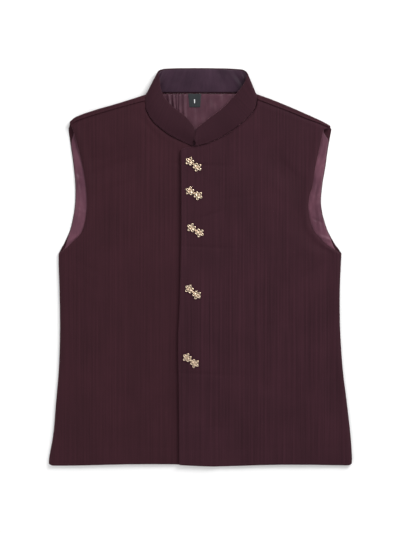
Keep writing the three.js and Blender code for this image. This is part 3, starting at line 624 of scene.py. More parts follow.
def satin(name, dark, light, roughness, sheen, painted_light_gain=1.0):
    """Satin of two close shades; its gain paints light onto what lies far out to the sides."""
    material, tree, shader = new_material(name)
    grain = grain_map(tree)
    cloud = stretched_noise(tree, grain, *SATIN_CLOUD)
    threads = stretched_noise(tree, grain, *SATIN_THREADS)
    colour = ramp_node(tree, weighted(tree, (cloud, 0.7), (threads, 0.3)), [(0.35, dark), (0.65, light)])
    # Painted light: far out to the sides, along the armhole strips, the satin's colour is made lighter.
    if painted_light_gain != 1.0:
        across = add_node(tree, "ShaderNodeSeparateXYZ", {"Vector": grain}).outputs["X"]
        far_out = math_node(tree, "ABSOLUTE", across, 0.0)
        gain = ramp_node(tree, far_out, [(PAINTED_LIGHT_FROM, WHITE), (PAINTED_LIGHT_TO, (painted_light_gain,) * 3)])
        colour = mixed(tree, "MULTIPLY", colour, gain)
    rough = math_node(tree, "MULTIPLY", cloud, CLOUD_ROUGHNESS)
    set_inputs(tree, shader, {
        "Base Color": colour,
        "Roughness": math_node(tree, "ADD", rough, roughness - CLOUD_ROUGHNESS / 2),
        "Normal": bump(tree, threads, 0.10, 0.1 * MM),
        "Sheen Weight": sheen, "Specular IOR Level": 0.18,
    })
    return material


mauve_satin = satin("mauve_satin", (0.047, 0.0155, 0.0260), (0.091, 0.0335, 0.0500), 0.50, 0.05,
                    painted_light_gain=1.46)
purple_satin = satin("purple_satin", (0.0185, 0.0068, 0.0156), (0.041, 0.0172, 0.033), 0.45, 0.05)
black_ribbon = satin("black_ribbon", (0.015, 0.018, 0.020), (0.029, 0.033, 0.036), 0.55, 0.03)
light_thread = satin("light_thread", (0.62, 0.63, 0.64), (0.80, 0.80, 0.80), 0.6, 0.1)
print("satins:", mauve_satin.name, purple_satin.name, black_ribbon.name, light_thread.name)

# %% [markdown]
# The fasteners are pale gold plate. Each wire's colour is darkened towards its underside as painted shade,
# which leaves the tops bright. Metal takes its look from what it reflects, so the colour is simple and the
# roughness does the work.

# %% Material of the gold plate
BROOCH_LEVEL = FRONT_REST + LAP_LIFT + FRONT_WALL / 2 + 1.0
WIRE_HEIGHT = 1.5
HANDLED_SCALE = 900.0
PLATE = [(0.3, (0.70, 0.50, 0.34)), (0.6, (1.0, 0.82, 0.62))]
# Painted shade by the height within a petal's wire, 0 at its underside and 1 on top
PAINTED_SHADE_BY_HEIGHT = [(0.2, (0.16, 0.11, 0.08)), (0.62, (0.60, 0.54, 0.48)), (0.9, (1.0, 1.0, 1.0))]

gold, tree, shader = new_material("pale_gold_plate")
place = add_node(tree, "ShaderNodeTexCoord").outputs["Object"]
handled = add_node(tree, "ShaderNodeTexNoise", {"Vector": place, "Scale": HANDLED_SCALE}).outputs["Fac"]
height = add_node(tree, "ShaderNodeSeparateXYZ", {"Vector": place}).outputs["Z"]
above = math_node(tree, "SUBTRACT", height, (BROOCH_LEVEL - WIRE_HEIGHT / 2) * MM)
# Painted shade: the plate's colour darkens towards the underside of each wire.
painted_shade = ramp_node(tree, math_node(tree, "DIVIDE", above, WIRE_HEIGHT * MM), PAINTED_SHADE_BY_HEIGHT)
set_inputs(tree, shader, {
    "Base Color": mixed(tree, "MULTIPLY", ramp_node(tree, handled, PLATE), painted_shade),
    "Roughness": math_node(tree, "ADD", math_node(tree, "MULTIPLY", handled, 0.2), 0.16),
    "Metallic": 1.0,
})
print("metal:", gold.name)

# %% [markdown]
# The fronts
#
# Each front is cut from hem to shoulder seam. Its side turns down to meet the back, its
# armhole edge is cut further in than the back's, and the left one has the lap with its small
# round corner under the collar. Seams pull the cloth in a little along their stitches, and a
# turned edge is thicker than one layer, so both show as soft relief.

# %% Surfaces of the two fronts
NECK_DROP = 1.2
COLLAR_SLIT = -11.5
NECK_CLEAR = 0.8
NECK_END = {"right": [-98.5, 292], "left": [101.3, 294]}
UNDERLAP_TOP = [-4, 214.8]
SHOULDER_SHARE = {"right": 0.56, "left": 0.5}
FOLD_FADE = 0.2
FRONT_CLOTH = 1.4


def fold_share(v):
    return 1 - smooth_step((v - UNDERARM) / 0.03)


def collar_foot(side):
    on_front = np.isnan(COLLAR["foot_z"]) & ((COLLAR["foot_x"] < COLLAR_SLIT) == (side == "right"))
    return columns_xy(COLLAR, "foot_x", "foot_y")[on_front] - [0, NECK_DROP]


def front_plan(side):
    seam = shoulder_line(side, "seam", -SEAM_GAP / 2)
    armhole = plan_curve([*columns_xy(FRONT_ARMHOLES, f"x_{side}", f"y_{side}"), seam(0.0)])
    side_edge = joined(plan_curve(columns_xy(SIDE_SEAMS, side, "y")), armhole, UNDERARM)
    foot = collar_foot(side)
    if side == "right":
        foot = foot[::-1] - [NECK_CLEAR, 0]
        neck = plan_curve([seam(1.0), NECK_END[side], *foot, UNDERLAP_TOP, UNDERLAP_EDGE[-1]])
        centre = plan_curve(UNDERLAP_EDGE)
    else:
        foot = foot[::-1] + [NECK_CLEAR, 0]
        lap = plan_curve([*LAP_CORNER, *foot, NECK_END[side], seam(1.0)])
        neck = lambda share: lap(1 - np.asarray(share, dtype=float))
        centre = plan_curve([*LAP_EDGE, LAP_CORNER[0]])
    top = joined(seam, neck, SHOULDER_SHARE[side])
    hem = hem_between(side_edge(0.0)[0], centre(0.0)[0])
    return panel_plan(hem, top, side_edge, centre, 0.5)


def front_surface(side):
    """U runs from 0 at the side seam through 1, where the fold ends, to 2 at the centre."""
    plan = front_plan(side)

    def surface(u, v):
        u, v = np.broadcast_arrays(u, v)
        angle = np.clip(u, 0, 1) * np.pi / 2
        width = np.abs(plan(np.ones_like(v), v)[..., 0] - plan(np.zeros_like(v), v)[..., 0])
        first = SIDE_FOLD / width
        flat_part = (u - 1) + first * np.clip(1 - (u - 1) / FOLD_FADE, 0, None)
        share = np.where(u < 1, first * (1 - np.cos(angle)), flat_part)
        place = plan(share, v)
        x, y = place[..., 0], place[..., 1]
        flat = front_height(x, y) + (lap_lift(x, y) if side == "left" else 0)
        rim = SIDE_MIDDLE + SEAM_GAP / 2
        folded = rim + (flat - rim) * np.sin(angle)
        return np.stack([x, y, flat + (folded - flat) * fold_share(v)], -1)

    return surface


FRONT_LENGTH = 615
SHOULDER_SEAM = [(-0.9, 0, 3.0), (0.6, 9, 5)]
NECK_SEAM = [(-1.0, 0, 3.5), (0.3, 10, 5)]
HEM_STITCH = [(-0.22, 30, 4)]
HEM_TURN = 0.12
# The lap rolls up a little and the cloth below dips: the soft line, and how far up it runs
LAP_RELIEF = {"left": ([(1.5, 0, 8.0)], 215), "right": ([(-1.3, -2, 6)], 213)}
EDGE_ROLL = 1.8
EDGE_ROLL_WIDTH = 7.0
# Height, size and seed of the front's slow and fine unevenness
SLOW_SWELL, FINE_SWELL = (0.25, 120, 5), (0.07, 34, 9)


def front_relief(side):
    """Creases, seams that pull in, and turned edges that stand a little thicker."""

    def relief(middle, u, v):
        x, y = middle[..., 0], middle[..., 1]
        from_top, from_hem = (1 - v) * FRONT_LENGTH, v * FRONT_LENGTH
        on_shoulder = smooth_step((1 + SHOULDER_SHARE[side] - u) / 0.02)
        seams = (soft_lines(SHOULDER_SEAM, from_top) * on_shoulder
                 + soft_lines(NECK_SEAM, from_top) * (1 - on_shoulder))
        hem = soft_lines(HEM_STITCH, from_hem) + HEM_TURN * smooth_step((24 - from_hem) / 8)
        lines, lap_top = LAP_RELIEF[side]
        lap = soft_lines(lines, x - edge_x([*LAP_EDGE, LAP_CORNER[0]], y)) * smooth_step((lap_top - y) / 9)
        off_side = np.clip(u, 0, 1)
        side_edge = off_side * smooth_step((2 - u) / 0.2)
        from_edge = np.abs(x - outer_edge(side, y)) / EDGE_ROLL_WIDTH
        roll = EDGE_ROLL * from_edge * np.exp((1 - from_edge**2) / 2) * side_edge * smooth_step(from_top / 20)
        slow, fine = (height * uneven(x, y, size, seed) for height, size, seed in (SLOW_SWELL, FINE_SWELL))
        return (crease_height(FRONT_CREASES, x, y) * off_side + seams + hem + lap + roll
                + slow * side_edge + fine * smooth_step((2 - u) / 0.12))

    return relief


def front_rows():
    return grid_lines(0, 150, UNDERARM, 104, 0.98, 9, 1)


def front_columns(side):
    neck_from = 1 + SHOULDER_SHARE[side]
    return grid_lines(0, 7, 1, 50, neck_from, 16, neck_from + 0.1, 28, 1.93, 12, 2)


for side, finish in (("right", maroon), ("left", maroon_ribbed)):
    front = cloth_wall(f"front_{side}_cloth", front_surface(side), front_columns(side), front_rows(),
                       FRONT_CLOTH, relief=front_relief(side))
    front.data.materials.append(finish)
    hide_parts(f"front_{side}")
    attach(front, "root")
    print(front.name, len(front.data.polygons), "faces,", round(cloth_area(front), 3), "square metres")

# %% [markdown]
# The back
#
# The back is one piece. It lies flat on the floor, its sides curl up to meet the fronts, and
# at the shoulders it wraps over the fold and comes forward to the shoulder seam, so the eye
# sees a narrow strip of it above each front.

# %% Surface of the back
NECK_RIGHT, NECK_LEFT = 0.29, 0.71
BACK_HEM_LIFT = 3
BACK_CLOTH = 1.2


def wrap_point(side, share, w):
    fold = shoulder_line(side, "fold")(share)
    seam = shoulder_line(side, "seam", SEAM_GAP / 2)(share)
    return fold + (seam - fold) * np.asarray(w, dtype=float)[..., None]


def back_plan():
    neck = plan_curve([wrap_point("right", 1.0, 0.5), *BACK_NECK, wrap_point("left", 1.0, 0.5)])

    def top(u):
        right = wrap_point("right", np.clip(u / NECK_RIGHT, 0, 1), np.full(np.shape(u), 0.5))
        left = wrap_point("left", np.clip((1 - u) / (1 - NECK_LEFT), 0, 1), np.full(np.shape(u), 0.5))
        middle = neck(np.clip((u - NECK_RIGHT) / (NECK_LEFT - NECK_RIGHT), 0, 1))
        middle = np.where((u > NECK_LEFT)[..., None], left, middle)
        return np.where((u < NECK_RIGHT)[..., None], right, middle)

    def edge(side, tip):
        armhole = plan_curve([*columns_xy(BACK_ARMHOLES, side, "y"), tip])
        line = joined(plan_curve(columns_xy(SIDE_SEAMS, side, "y")), armhole, UNDERARM)

        def raised(v):
            v = np.asarray(v, dtype=float)
            lift = BACK_HEM_LIFT * (1 - smooth_step(v / 0.1))
            return line(v) + np.stack([np.zeros_like(lift), lift], -1)

        return raised

    right = edge("right", top(np.zeros(1))[0])
    left = edge("left", top(np.ones(1))[0])
    hem = hem_between(right(0.0)[0], left(0.0)[0], BACK_HEM_LIFT)
    return panel_plan(hem, top, right, left, NECK_RIGHT)


BACK_PLAN = back_plan()


def back_surface(u, v):
    """U runs from 0 at the right seam, 1 and 2 at the ends of the folds, to 3 at the left seam.
    V runs from 0 at the hem to 1, and on the shoulders over the fold at 2 to the seam at 3."""
    u, v = np.broadcast_arrays(u, v)
    row = np.minimum(v, 1)
    width = BACK_PLAN(np.ones_like(row), row)[..., 0] - BACK_PLAN(np.zeros_like(row), row)[..., 0]
    first = SIDE_FOLD / width
    right, left = (np.clip(share, 0, 1) * np.pi / 2 for share in (u, 3 - u))
    from_right, from_left = (np.clip(1 - off / FOLD_FADE, 0, None) for off in (u - 1, 2 - u))
    share = (u - 1) + first * (from_right - from_left)
    share = np.where(u > 2, 1 - first * (1 - np.cos(left)), share)
    share = np.where(u < 1, first * (1 - np.cos(right)), share)
    folded = fold_share(row) * np.maximum(1 - np.sin(right), 1 - np.sin(left))
    flat = BACK_PLAN(share, row)
    z = BACK_MIDDLE + (SIDE_MIDDLE - SEAM_GAP / 2 - BACK_MIDDLE) * folded
    lying = np.stack([flat[..., 0], flat[..., 1], z], -1)
    angle = np.where(v < 2, (v - 1.5) * np.pi, np.pi / 2)
    w = np.where(v < 2, 0.5 * (1 - np.cos(angle)), 0.5 + 0.5 * (v - 2))
    wraps = []
    for side, along in (("right", share / NECK_RIGHT), ("left", (1 - share) / (1 - NECK_LEFT))):
        along = np.clip(along, 0, 1)
        seam = wrap_point(side, along, np.ones_like(along))
        height = front_height(seam[..., 0], seam[..., 1])
        place = wrap_point(side, along, w)
        middle = (height + BACK_MIDDLE) / 2
        wraps.append(np.stack([place[..., 0], place[..., 1], middle + (height - middle) * np.sin(angle)], -1))
    wrapped = np.where((share < 0.5)[..., None], *wraps)
    return np.where((v <= 1)[..., None], lying, wrapped)


# %% Cloth of the back
STRIP_SEAM = [(-1.0, 0, 0.5)]
BACK_CREASES = table(CREASE, [
    [-150, 200, -60, 120, 10, 0.35], [40, 230, 150, 160, 10, 0.35], [-210, 20, -120, -20, 9, 0.3],
    [200, 10, 120, -40, 9, 0.3], [-90, -60, -80, -240, 12, 0.35], [70, 40, 90, -190, 12, 0.3],
    [-30, 280, -20, 170, 8, 0.3], [150, -200, 160, -340, 11, 0.35], [-190, -180, -180, -330, 11, 0.3],
])


def back_relief(middle, u, v):
    """Creases lift off the floor; the seams at the shoulder pull in along their stitches."""
    x, y = middle[..., 0], middle[..., 1]
    lift = crease_height(BACK_CREASES, x, y) * (np.minimum(v, 1) < 0.97)
    stitched = soft_lines(STRIP_SEAM, 3 - v) * (v > 2)
    return lift - (BACK_WALL - BACK_CLOTH) / 2 * (v <= 1) + stitched


def shoulder_cells(u, v):
    inner = (u[1:] < 1 + NECK_RIGHT + 1e-6) | (u[:-1] > 1 + NECK_LEFT - 1e-6)
    return inner[:, None] | (v[:-1] < 1 - 1e-9)[None, :]


back_columns = grid_lines(0, 6, 1, 28, 1 + NECK_RIGHT, 44, 1 + NECK_LEFT, 28, 2, 6, 3)
back_rows = grid_lines(0, 60, UNDERARM, 12, UNDERARM + 0.06, 44, 1, 16, 2, 6, 3)
back = cloth_wall("back_cloth", back_surface, back_columns, back_rows, BACK_CLOTH, keep=shoulder_cells,
                  relief=back_relief)
back.data.materials.append(maroon)
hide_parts("back")
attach(back, "root")
print(back.name, len(back.data.polygons), "faces,", round(cloth_area(back), 3), "square metres")

# %% [markdown]
# The back lining
#
# Satin lining is cut a little roomy, so it never lies quite flat. It shows inside the neck,
# where soft folds hang from the neck seam, and as a strip along each armhole, where soft
# folds follow the edge and a few small ones cross it.

# %% Lining of the back
LINING_CLOTH = 0.7
SIDE_INSET, ARMHOLE_INSET = 5.5, 1.3
# Room for folds inside the neck: its middle and half width, and where it starts and ends
NECK_MIDDLE, NECK_HALF, NECK_FROM, NECK_TO = 2, 95, 232, 313
SIDE_QUIET = 0.005
TIP_INSET = {"right": (10.0, 0.930, 0.040), "left": (12.0, 0.952, 0.022)}
LINING_FOLDS = table(CREASE, [
    [-62, 350, -52, 262, 3.8, 1.8], [-52, 350, -45, 256, 3.2, 2.4], [-44, 345, -41, 262, 2.6, 1.4],
    [-38.5, 350, -37, 244, 3, 2.6], [-30, 350, -28, 252, 4.4, 2.4], [11, 345, 18, 268, 6, 0.6],
    [34, 345, 36, 276, 7, 0.8], [24, 345, 27, 290, 5, -0.4], [-12, 292, -15, 238, 8, 0.8],
    [2, 284, 6, 246, 6, 0.5], [52, 345, 50, 290, 6, 0.5],
    [-226, 240, -212, 172, 4, -0.9], [-226, 182, -213, 96, 4.5, 1.5], [-218, 128, -224, 58, 5, 1.4],
    [-236, 176, -206, 160, 4.5, -1.1], [-240, 112, -202, 96, 6, 1.2], [-232, 68, -210, 84, 4, -0.9],
    [-246, 40, -214, 62, 5, 1.5], [-212, 210, -208, 150, 4, 0.9], [-236, 148, -222, 128, 4, 1.2],
    [232, 228, 212, 168, 5, 1.4], [222, 176, 206, 104, 4.5, 1.6], [210, 120, 216, 60, 5, 1.3],
    [238, 196, 204, 176, 4.5, -1.2], [228, 134, 198, 122, 6, 1.2], [224, 78, 198, 90, 4, -0.8],
    [246, 44, 210, 58, 5, 1.5], [208, 150, 200, 118, 4, 0.9], [230, 160, 222, 138, 4, 1.1],
])


def lining_surface(u, v):
    u, v = np.broadcast_arrays(u, v)
    above = smooth_step((v - UNDERARM - 0.02) / 0.05)
    width = BACK_PLAN(np.ones_like(v), v)[..., 0] - BACK_PLAN(np.zeros_like(v), v)[..., 0]
    tips = [deep * smooth_step((v - start) / length) for deep, start, length in TIP_INSET.values()]
    edge = SIDE_INSET + (ARMHOLE_INSET - SIDE_INSET) * above
    inset, inset_left = ((edge + tip) / width for tip in tips)
    flat = BACK_PLAN(inset + (1 - inset - inset_left) * u, v)
    return np.stack([flat[..., 0], flat[..., 1], np.full(u.shape, LINING_MIDDLE)], -1)


def lining_relief(middle, u, v):
    """Folds only where the fronts leave room for them, over the lining's own unevenness."""
    x, y = middle[..., 0], middle[..., 1]
    neck = (smooth_step((NECK_HALF - np.abs(x - NECK_MIDDLE)) / 10)
            * smooth_step((y - NECK_FROM) / 14) * smooth_step((NECK_TO - y) / 3))
    past_edge = np.maximum(outer_edge("right", y) - x, x - outer_edge("left", y))
    armhole = smooth_step((past_edge - 0.5) / 4) * smooth_step((y - UNDERARM_Y - 4) / 10)
    off_side = smooth_step(np.minimum(u, 1 - u) / SIDE_QUIET)
    room = np.maximum(neck, armhole) * off_side
    swell = 0.6 + 0.45 * uneven(x, y, 26, 12) + 0.3 * uneven(x, y, 11, 17)
    return room * (crease_height(LINING_FOLDS, x, y) + swell)


lining_columns = grid_lines(0, 30, 0.09, 22, 0.34, 128, 0.66, 22, 0.91, 30, 1)
lining_rows = grid_lines(0.023, 36, UNDERARM, 110, 0.9, 40, 0.9976)
lining = cloth_wall("back_lining_satin", lining_surface, lining_columns, lining_rows, LINING_CLOTH,
                    relief=lining_relief)
lining.data.materials.append(mauve_satin)
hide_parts("back_lining")
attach(lining, "root")
print(lining.name, len(lining.data.polygons), "faces")

# %% [markdown]
# The collar
#
# The band is one long strip with canvas inside, so it holds a smooth curve: flat on the floor
# at the back of the neck, round at the sides and rising over the fronts. Its two ends butt at
# the centre with rounded top corners.

# %% Surface and cloth of the collar
COLLAR_CLOTH = 1.7
COLLAR_HEIGHT = 45.0
COLLAR_SWELL = 0.12
# Where the band leaves the floor, and the height over which its bow and its drawn foot come in
BOW_FROM, BOW_RISE = 2, 6
FOOT_FROM, FOOT_RISE = 3, 3
FOOT_SEAM, END_TURN, TOP_STITCH = [(-0.8, 0, 2.6)], [(-1.2, 0, 2.8)], [(-0.18, 5, 1.6)]
COLLAR_BOW = 3.8
BOW_AT = 0.72
FOOT_GAP = 0.7
CORNER_ROUND = 7.0
COLLAR_LINES = len(COLLAR["foot_x"]) - 1
foot_on_front = np.isnan(COLLAR["foot_z"])
foot_x, foot_y = COLLAR["foot_x"], COLLAR["foot_y"]
foot_lap = np.where(foot_x > COLLAR_SLIT, lap_lift(foot_x, foot_y), 0)
foot_z = np.where(foot_on_front, front_height(foot_x, foot_y - 1) + foot_lap, COLLAR["foot_z"])
line_numbers = np.arange(COLLAR_LINES + 1)
foot_lines = np.stack([foot_x, foot_y, foot_z], -1)
top_lines = np.stack([COLLAR["top_x"], COLLAR["top_y"], COLLAR["top_z"]], -1)
middle_lines = (foot_lines + top_lines) / 2
collar_steps = np.concatenate([[0], np.cumsum(np.linalg.norm(np.diff(middle_lines, axis=0), axis=1))])


def from_end(along):
    """Way in mm along the band to its nearer end."""
    run = smooth_value(line_numbers, collar_steps, along)
    return np.minimum(run, collar_steps[-1] - run)


def collar_surface(along, across):
    """Along counts the lines of the table, across runs from the foot at 0 to the top at 1."""
    along, across = np.broadcast_arrays(along, across)
    foot, top = (np.stack([smooth_value(line_numbers, line, along) for line in lines.T], -1)
                 for lines in (foot_lines, top_lines))
    near = np.clip(1 - from_end(along) / CORNER_ROUND, 0, 1)
    height = np.linalg.norm(top - foot, axis=-1)
    cut = CORNER_ROUND / height * (1 - np.sqrt(1 - near**2))
    drawn = FOOT_GAP / height * smooth_step((foot[..., 2] - FOOT_FROM) / FOOT_RISE)
    across = drawn + (1 - drawn) * across
    place = foot + (top - foot) * (across * (1 - cut))[..., None]
    lifted = smooth_step((place[..., 2] - BOW_FROM) / BOW_RISE)
    bow = COLLAR_BOW * np.sin(np.pi * across**BOW_AT) * lifted
    z = np.maximum(place[..., 2] + bow, COLLAR_WALL / 2)
    return np.stack([place[..., 0], place[..., 1], z], -1)


def collar_grain(along, across):
    along, across = np.broadcast_arrays(along, across)
    return np.stack([smooth_value(line_numbers, collar_steps, along), across * COLLAR_HEIGHT], -1)


def collar_relief(middle, along, across):
    """The foot, both ends and a stitched line below the top are pulled in; none of it on the floor."""
    x, y, z = (middle[..., k] for k in range(3))
    drawn_in = (soft_lines(FOOT_SEAM, across * COLLAR_HEIGHT)
                + soft_lines(TOP_STITCH, (1 - across) * COLLAR_HEIGHT)
                + soft_lines(END_TURN, from_end(along)))
    return (drawn_in + COLLAR_SWELL * uneven(x, y, 60, 3)) * smooth_step((z - 2) / 4)


collar_columns = grid_lines(0, 26, 1.2, 220, COLLAR_LINES - 1.2, 26, COLLAR_LINES)
collar_rows = grid_lines(0, 6, 0.12, 17, 1)
collar = cloth_wall("collar_band", collar_surface, collar_columns, collar_rows, COLLAR_CLOTH,
                    grain=collar_grain, relief=collar_relief)
collar.data.materials.append(maroon_plain)
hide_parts("collar")
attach(collar, "root")
print(collar.name, len(collar.data.polygons), "faces, band length", round(collar_steps[-1]), "mm")

# %% [markdown]
# The facing inside the collar
#
# The satin facing is felled to the inside of the band. It wrinkles where the band turns,
# because the inside of a bend is shorter than the outside.

# %% Facing of the collar
FACING_CLOTH = 0.6
FACING_FROM, FACING_TO = 5.4, 21.6
FACING_FOLDS = table("line slant half_width height", [
    [9.6, 0.5, 0.30, 0.7], [10.2, -0.3, 0.25, -0.6], [10.8, -0.4, 0.30, 0.9], [11.3, 0.5, 0.25, -0.5],
    [11.7, 0.5, 0.25, 0.6], [12, -0.15, 0.14, 0.5], [12.35, 0.2, 0.12, -0.4], [13.2, 0.15, 0.12, 0.3],
    [13.75, -0.2, 0.14, -0.4], [14.3, -0.4, 0.20, 0.4], [14.7, -0.4, 0.25, -0.5], [15.2, -0.3, 0.30, 0.3],
    [15.7, -0.3, 0.35, -0.7], [16.2, 0.2, 0.35, -0.5], [16.8, 0.2, 0.25, -0.7], [17.4, -0.2, 0.3, 0.7],
])
FACING_LOOSE = 0.8


def facing_relief(middle, along, across):
    total = np.zeros(middle.shape[:2])
    for line, slant, half_width, height in zip(*FACING_FOLDS.values()):
        off = np.abs(along - line - slant * (across - 0.5)) / half_width
        total = total + height * (1 + np.cos(np.pi * np.clip(off, 0, 1))) / 2
    ends = np.sin(np.pi * np.clip(across, 0, 1)) ** 0.7
    return (total + FACING_LOOSE) * ends + 0.15 * uneven(along * 20, across * COLLAR_HEIGHT, 16, 21)


facing = cloth_wall("collar_facing_satin", collar_surface, grid_lines(FACING_FROM, 240, FACING_TO),
                    grid_lines(0.03, 18, 0.955), FACING_CLOTH, grain=collar_grain, relief=facing_relief,
                    offset=COLLAR_WALL / 2 + SEAM_GAP + FACING_WALL / 2)
facing.data.materials.append(purple_satin)
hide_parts("collar_facing")
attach(facing, "root")
print(facing.name, len(facing.data.polygons), "faces")

# %% [markdown]
# The label
#
# A short woven tab hangs from the back neck seam. It is narrower at its free end, curls up a
# little there, and carries one plain light stroke and no text.

# %% Label with its plain stroke
LABEL_X, LABEL_TOP, LABEL_LENGTH = -10.2, 312.0, 23.5
LABEL_TOP_WIDTH, LABEL_BOTTOM_WIDTH, LABEL_CURL, LABEL_WAVE = 23.0, 19.0, 0.7, 0.25
LABEL_LEVEL = BACK_WALL + LINING_WALL + 2 * SEAM_GAP + 0.4
LABEL_CLOTH = 0.5
STROKE = {"x": -10.5, "y": 295.4, "width": 1.5, "length": 6.8, "thick": 0.18}


def label_surface(u, v):
    u, v = np.broadcast_arrays(u, v)
    width = LABEL_BOTTOM_WIDTH + (LABEL_TOP_WIDTH - LABEL_BOTTOM_WIDTH) * v
    x = LABEL_X + (u - 0.5) * width
    y = LABEL_TOP - LABEL_LENGTH * (1 - v)
    z = LABEL_LEVEL + LABEL_CURL * (1 - v) ** 2 + LABEL_WAVE * np.cos((u - 0.4) * 5) * (1 - v)
    return np.stack([x, y, z], -1)


label = cloth_wall("label_tab", label_surface, grid_lines(0, 20, 1), grid_lines(0, 22, 1), LABEL_CLOTH)
label.data.materials.append(black_ribbon)
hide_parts("label")
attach(label, "root")


def stroke_surface(u, v):
    x = STROKE["x"] + (u - 0.5) * STROKE["width"]
    y = STROKE["y"] + v * STROKE["length"]
    share_u = (x - LABEL_X) / LABEL_TOP_WIDTH + 0.5
    share_v = 1 - (LABEL_TOP - y) / LABEL_LENGTH
    on_label = label_surface(share_u, share_v)
    z = on_label[..., 2] + LABEL_CLOTH / 2 + STROKE["thick"] / 2
    return np.stack(np.broadcast_arrays(x, y, z), -1)


stroke = cloth_wall("label_stroke", stroke_surface, grid_lines(0, 3, 1), grid_lines(0, 10, 1),
                    STROKE["thick"])
stroke.data.materials.append(light_thread)
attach(stroke, "root")
print(label.name, "with", stroke.name)

# %% [markdown]
# The fasteners
#
# Each one is a pair of little openwork flowers with a bead between them. A petal is a loop of
# wire, so it starts as a torus that is drawn out along the petal. One petal is modelled and
# turned four more times round the flower's middle, then a ring, a dome and small grains are
# set in the centre. The whole pair is modelled once at the origin and copied five times.

# %% One pair of flowers, modelled with operators
PETALS = 5
PETAL_PLACE, PETAL_STRETCH = (4.9, 0, 0), (1.16, 0.88, 0.85)
PETAL_LOOP = 2.0 * MM
PETAL_WIRE = 0.84 * MM
FLOWER_SPACING = 17.5 * MM
TORUS, BALL = bpy.ops.mesh.primitive_torus_add, bpy.ops.mesh.primitive_uv_sphere_add
ROD = bpy.ops.mesh.primitive_cylinder_add


def pick(*pieces):
    """Select these pieces alone and make the first one active."""
    bpy.ops.object.select_all(action="DESELECT")
    for piece in pieces:
        piece.select_set(True)
    if pieces:
        bpy.context.view_layer.objects.active = pieces[0]


def apply_place():
    bpy.ops.object.transform_apply(location=True, rotation=True, scale=True)
    return bpy.context.active_object


def add_part(operator, place, stretch=(1, 1, 1), **sizes):
    """A primitive at a place in mm, drawn out, with both applied."""
    pick()
    operator(location=[v * MM for v in place], **sizes)
    bpy.ops.transform.resize(value=stretch)
    return apply_place()


def turned_copy(piece, angle):
    """A copy of a piece, turned about the Z axis through the origin."""
    pick(piece)
    bpy.ops.object.duplicate(linked=False)
    bpy.ops.transform.rotate(value=-angle, orient_axis="Z", center_override=(0, 0, 0))
    return apply_place()


def join_pieces(pieces, name):
    pick(*pieces)
    bpy.ops.object.join()
    pieces[0].name = name
    return pieces[0]


def make_flower():
    petal = add_part(TORUS, PETAL_PLACE, PETAL_STRETCH, major_radius=PETAL_LOOP, minor_radius=PETAL_WIRE,
                     major_segments=26, minor_segments=9)
    grain = add_part(BALL, (2.9, 0, -0.1), radius=0.6 * MM, segments=10, ring_count=6)
    pieces = [petal, grain]
    for k in range(1, PETALS):
        pieces += [turned_copy(piece, k * 2 * math.pi / PETALS) for piece in (petal, grain)]
    ring = add_part(TORUS, (0, 0, -0.15), major_radius=1.75 * MM, minor_radius=0.5 * MM,
                    major_segments=26, minor_segments=8)
    dome = add_part(BALL, (0, 0, 0.1), radius=0.8 * MM, segments=16, ring_count=10)
    foot = add_part(ROD, (0, 0, -0.7), radius=1.2 * MM, depth=1.0 * MM, vertices=18)
    return join_pieces([*pieces, ring, dome, foot], "flower")


second = make_flower()
flower = turned_copy(second, math.pi / PETALS)
for piece, x in ((flower, -FLOWER_SPACING / 2), (second, FLOWER_SPACING / 2)):
    pick(piece)
    bpy.ops.transform.translate(value=(x, 0, 0))
    apply_place()
bead = add_part(BALL, (0, 0, 0.7), radius=1.7 * MM, segments=22, ring_count=14)
link = add_part(TORUS, (0, 0, 0.1), (1.75, 0.42, 1.0), major_radius=2.6 * MM, minor_radius=0.55 * MM,
                major_segments=30, minor_segments=8)
pair = join_pieces([flower, second, bead, link], "flower_pair")
bpy.ops.object.shade_smooth()
print("flower pair:", len(pair.data.polygons), "faces,", round(pair.dimensions.x / MM, 1), "mm long")

# %% Five copies on the lap
BROOCHES = table("x y tilt", [
    [-12.4, 185.1, -38], [-11.5, 132.9, -29.5], [-8.8, 66.3, -32], [-13.3, -44.6, -39],
    [-17.1, -167.9, -37],
])

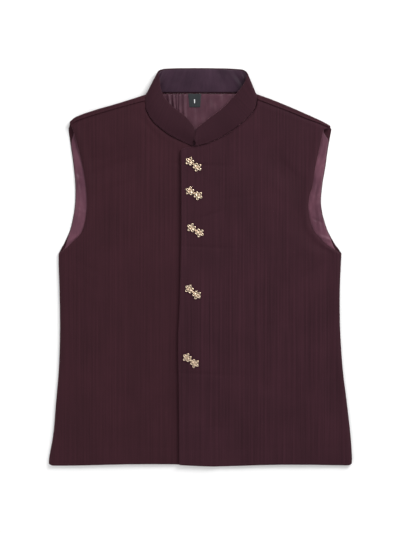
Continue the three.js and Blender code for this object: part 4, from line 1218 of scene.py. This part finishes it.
for number, (x, y, tilt) in enumerate(zip(*BROOCHES.values()), start=1):
    pick(pair)
    bpy.ops.object.duplicate(linked=False)
    brooch = bpy.context.active_object
    brooch.name = f"brooch_{number}_gold"
    brooch.rotation_euler.z = math.radians(tilt)
    brooch.location = (x * MM, y * MM, BROOCH_LEVEL * MM)
    apply_place()
    brooch.data.materials.append(gold)
    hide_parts(f"brooch_{number}")
    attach(brooch, "root")
bpy.data.objects.remove(pair)
print("brooches:", number)

# %% [markdown]
# What was cloth
#
# The fronts and the back print their area, measured on one face of the wall as it lies.

# %% [markdown]
# Floor and light
#
# The photograph is lit softly from all round with a little more from one side, on pure white.
# A white sky gives the even part, and two broad lamps model the folds.

# %% Floor, sky and lamps
FLOOR_SIZE, FLOOR_LEVEL = 6.0, -0.4 * MM
bpy.ops.mesh.primitive_plane_add(size=FLOOR_SIZE, location=(0, 0, FLOOR_LEVEL))
floor = bpy.context.active_object
floor.name = "floor"
floor_paint, tree, shader = new_material("pale_floor")
set_inputs(tree, shader, {"Base Color": (0.95, 0.95, 0.95, 1.0), "Roughness": 0.9})
floor.data.materials.append(floor_paint)

# Grey of the sky by its height: from white below the horizon to darker overhead
SKY = [(0.0, WHITE), (0.5, (0.62,) * 3), (1.0, (0.22,) * 3)]
SKY_STRENGTH = 1.41
world = bpy.data.worlds.new("studio")
bpy.context.scene.world = world
world.use_nodes = True
tree = world.node_tree
ways = add_node(tree, "ShaderNodeTexCoord").outputs["Generated"]
height = add_node(tree, "ShaderNodeSeparateXYZ", {"Vector": ways}).outputs["Z"]
set_inputs(tree, tree.nodes["Background"], {"Color": ramp_node(tree, height, SKY), "Strength": SKY_STRENGTH})

# Lamps: name, place in metres, size and power
LAMPS = [
    ("key", (1.15, 1.35, 1.25), 1.1, 38.0),
    ("fill", (-1.3, -0.7, 1.2), 1.6, 8.6),
]
for name, place, size, power in LAMPS:
    lamp_data = bpy.data.lights.new(name, "AREA")
    lamp_data.size = size
    lamp_data.energy = power
    lamp = bpy.data.objects.new(name, lamp_data)
    lamp.location = place
    lamp.rotation_euler = (-Vector(place)).to_track_quat("-Z", "Y").to_euler()
    bpy.context.scene.collection.objects.link(lamp)
bpy.context.scene.view_settings.view_transform = "Standard"
print("lamps:", [lamp[0] for lamp in LAMPS])
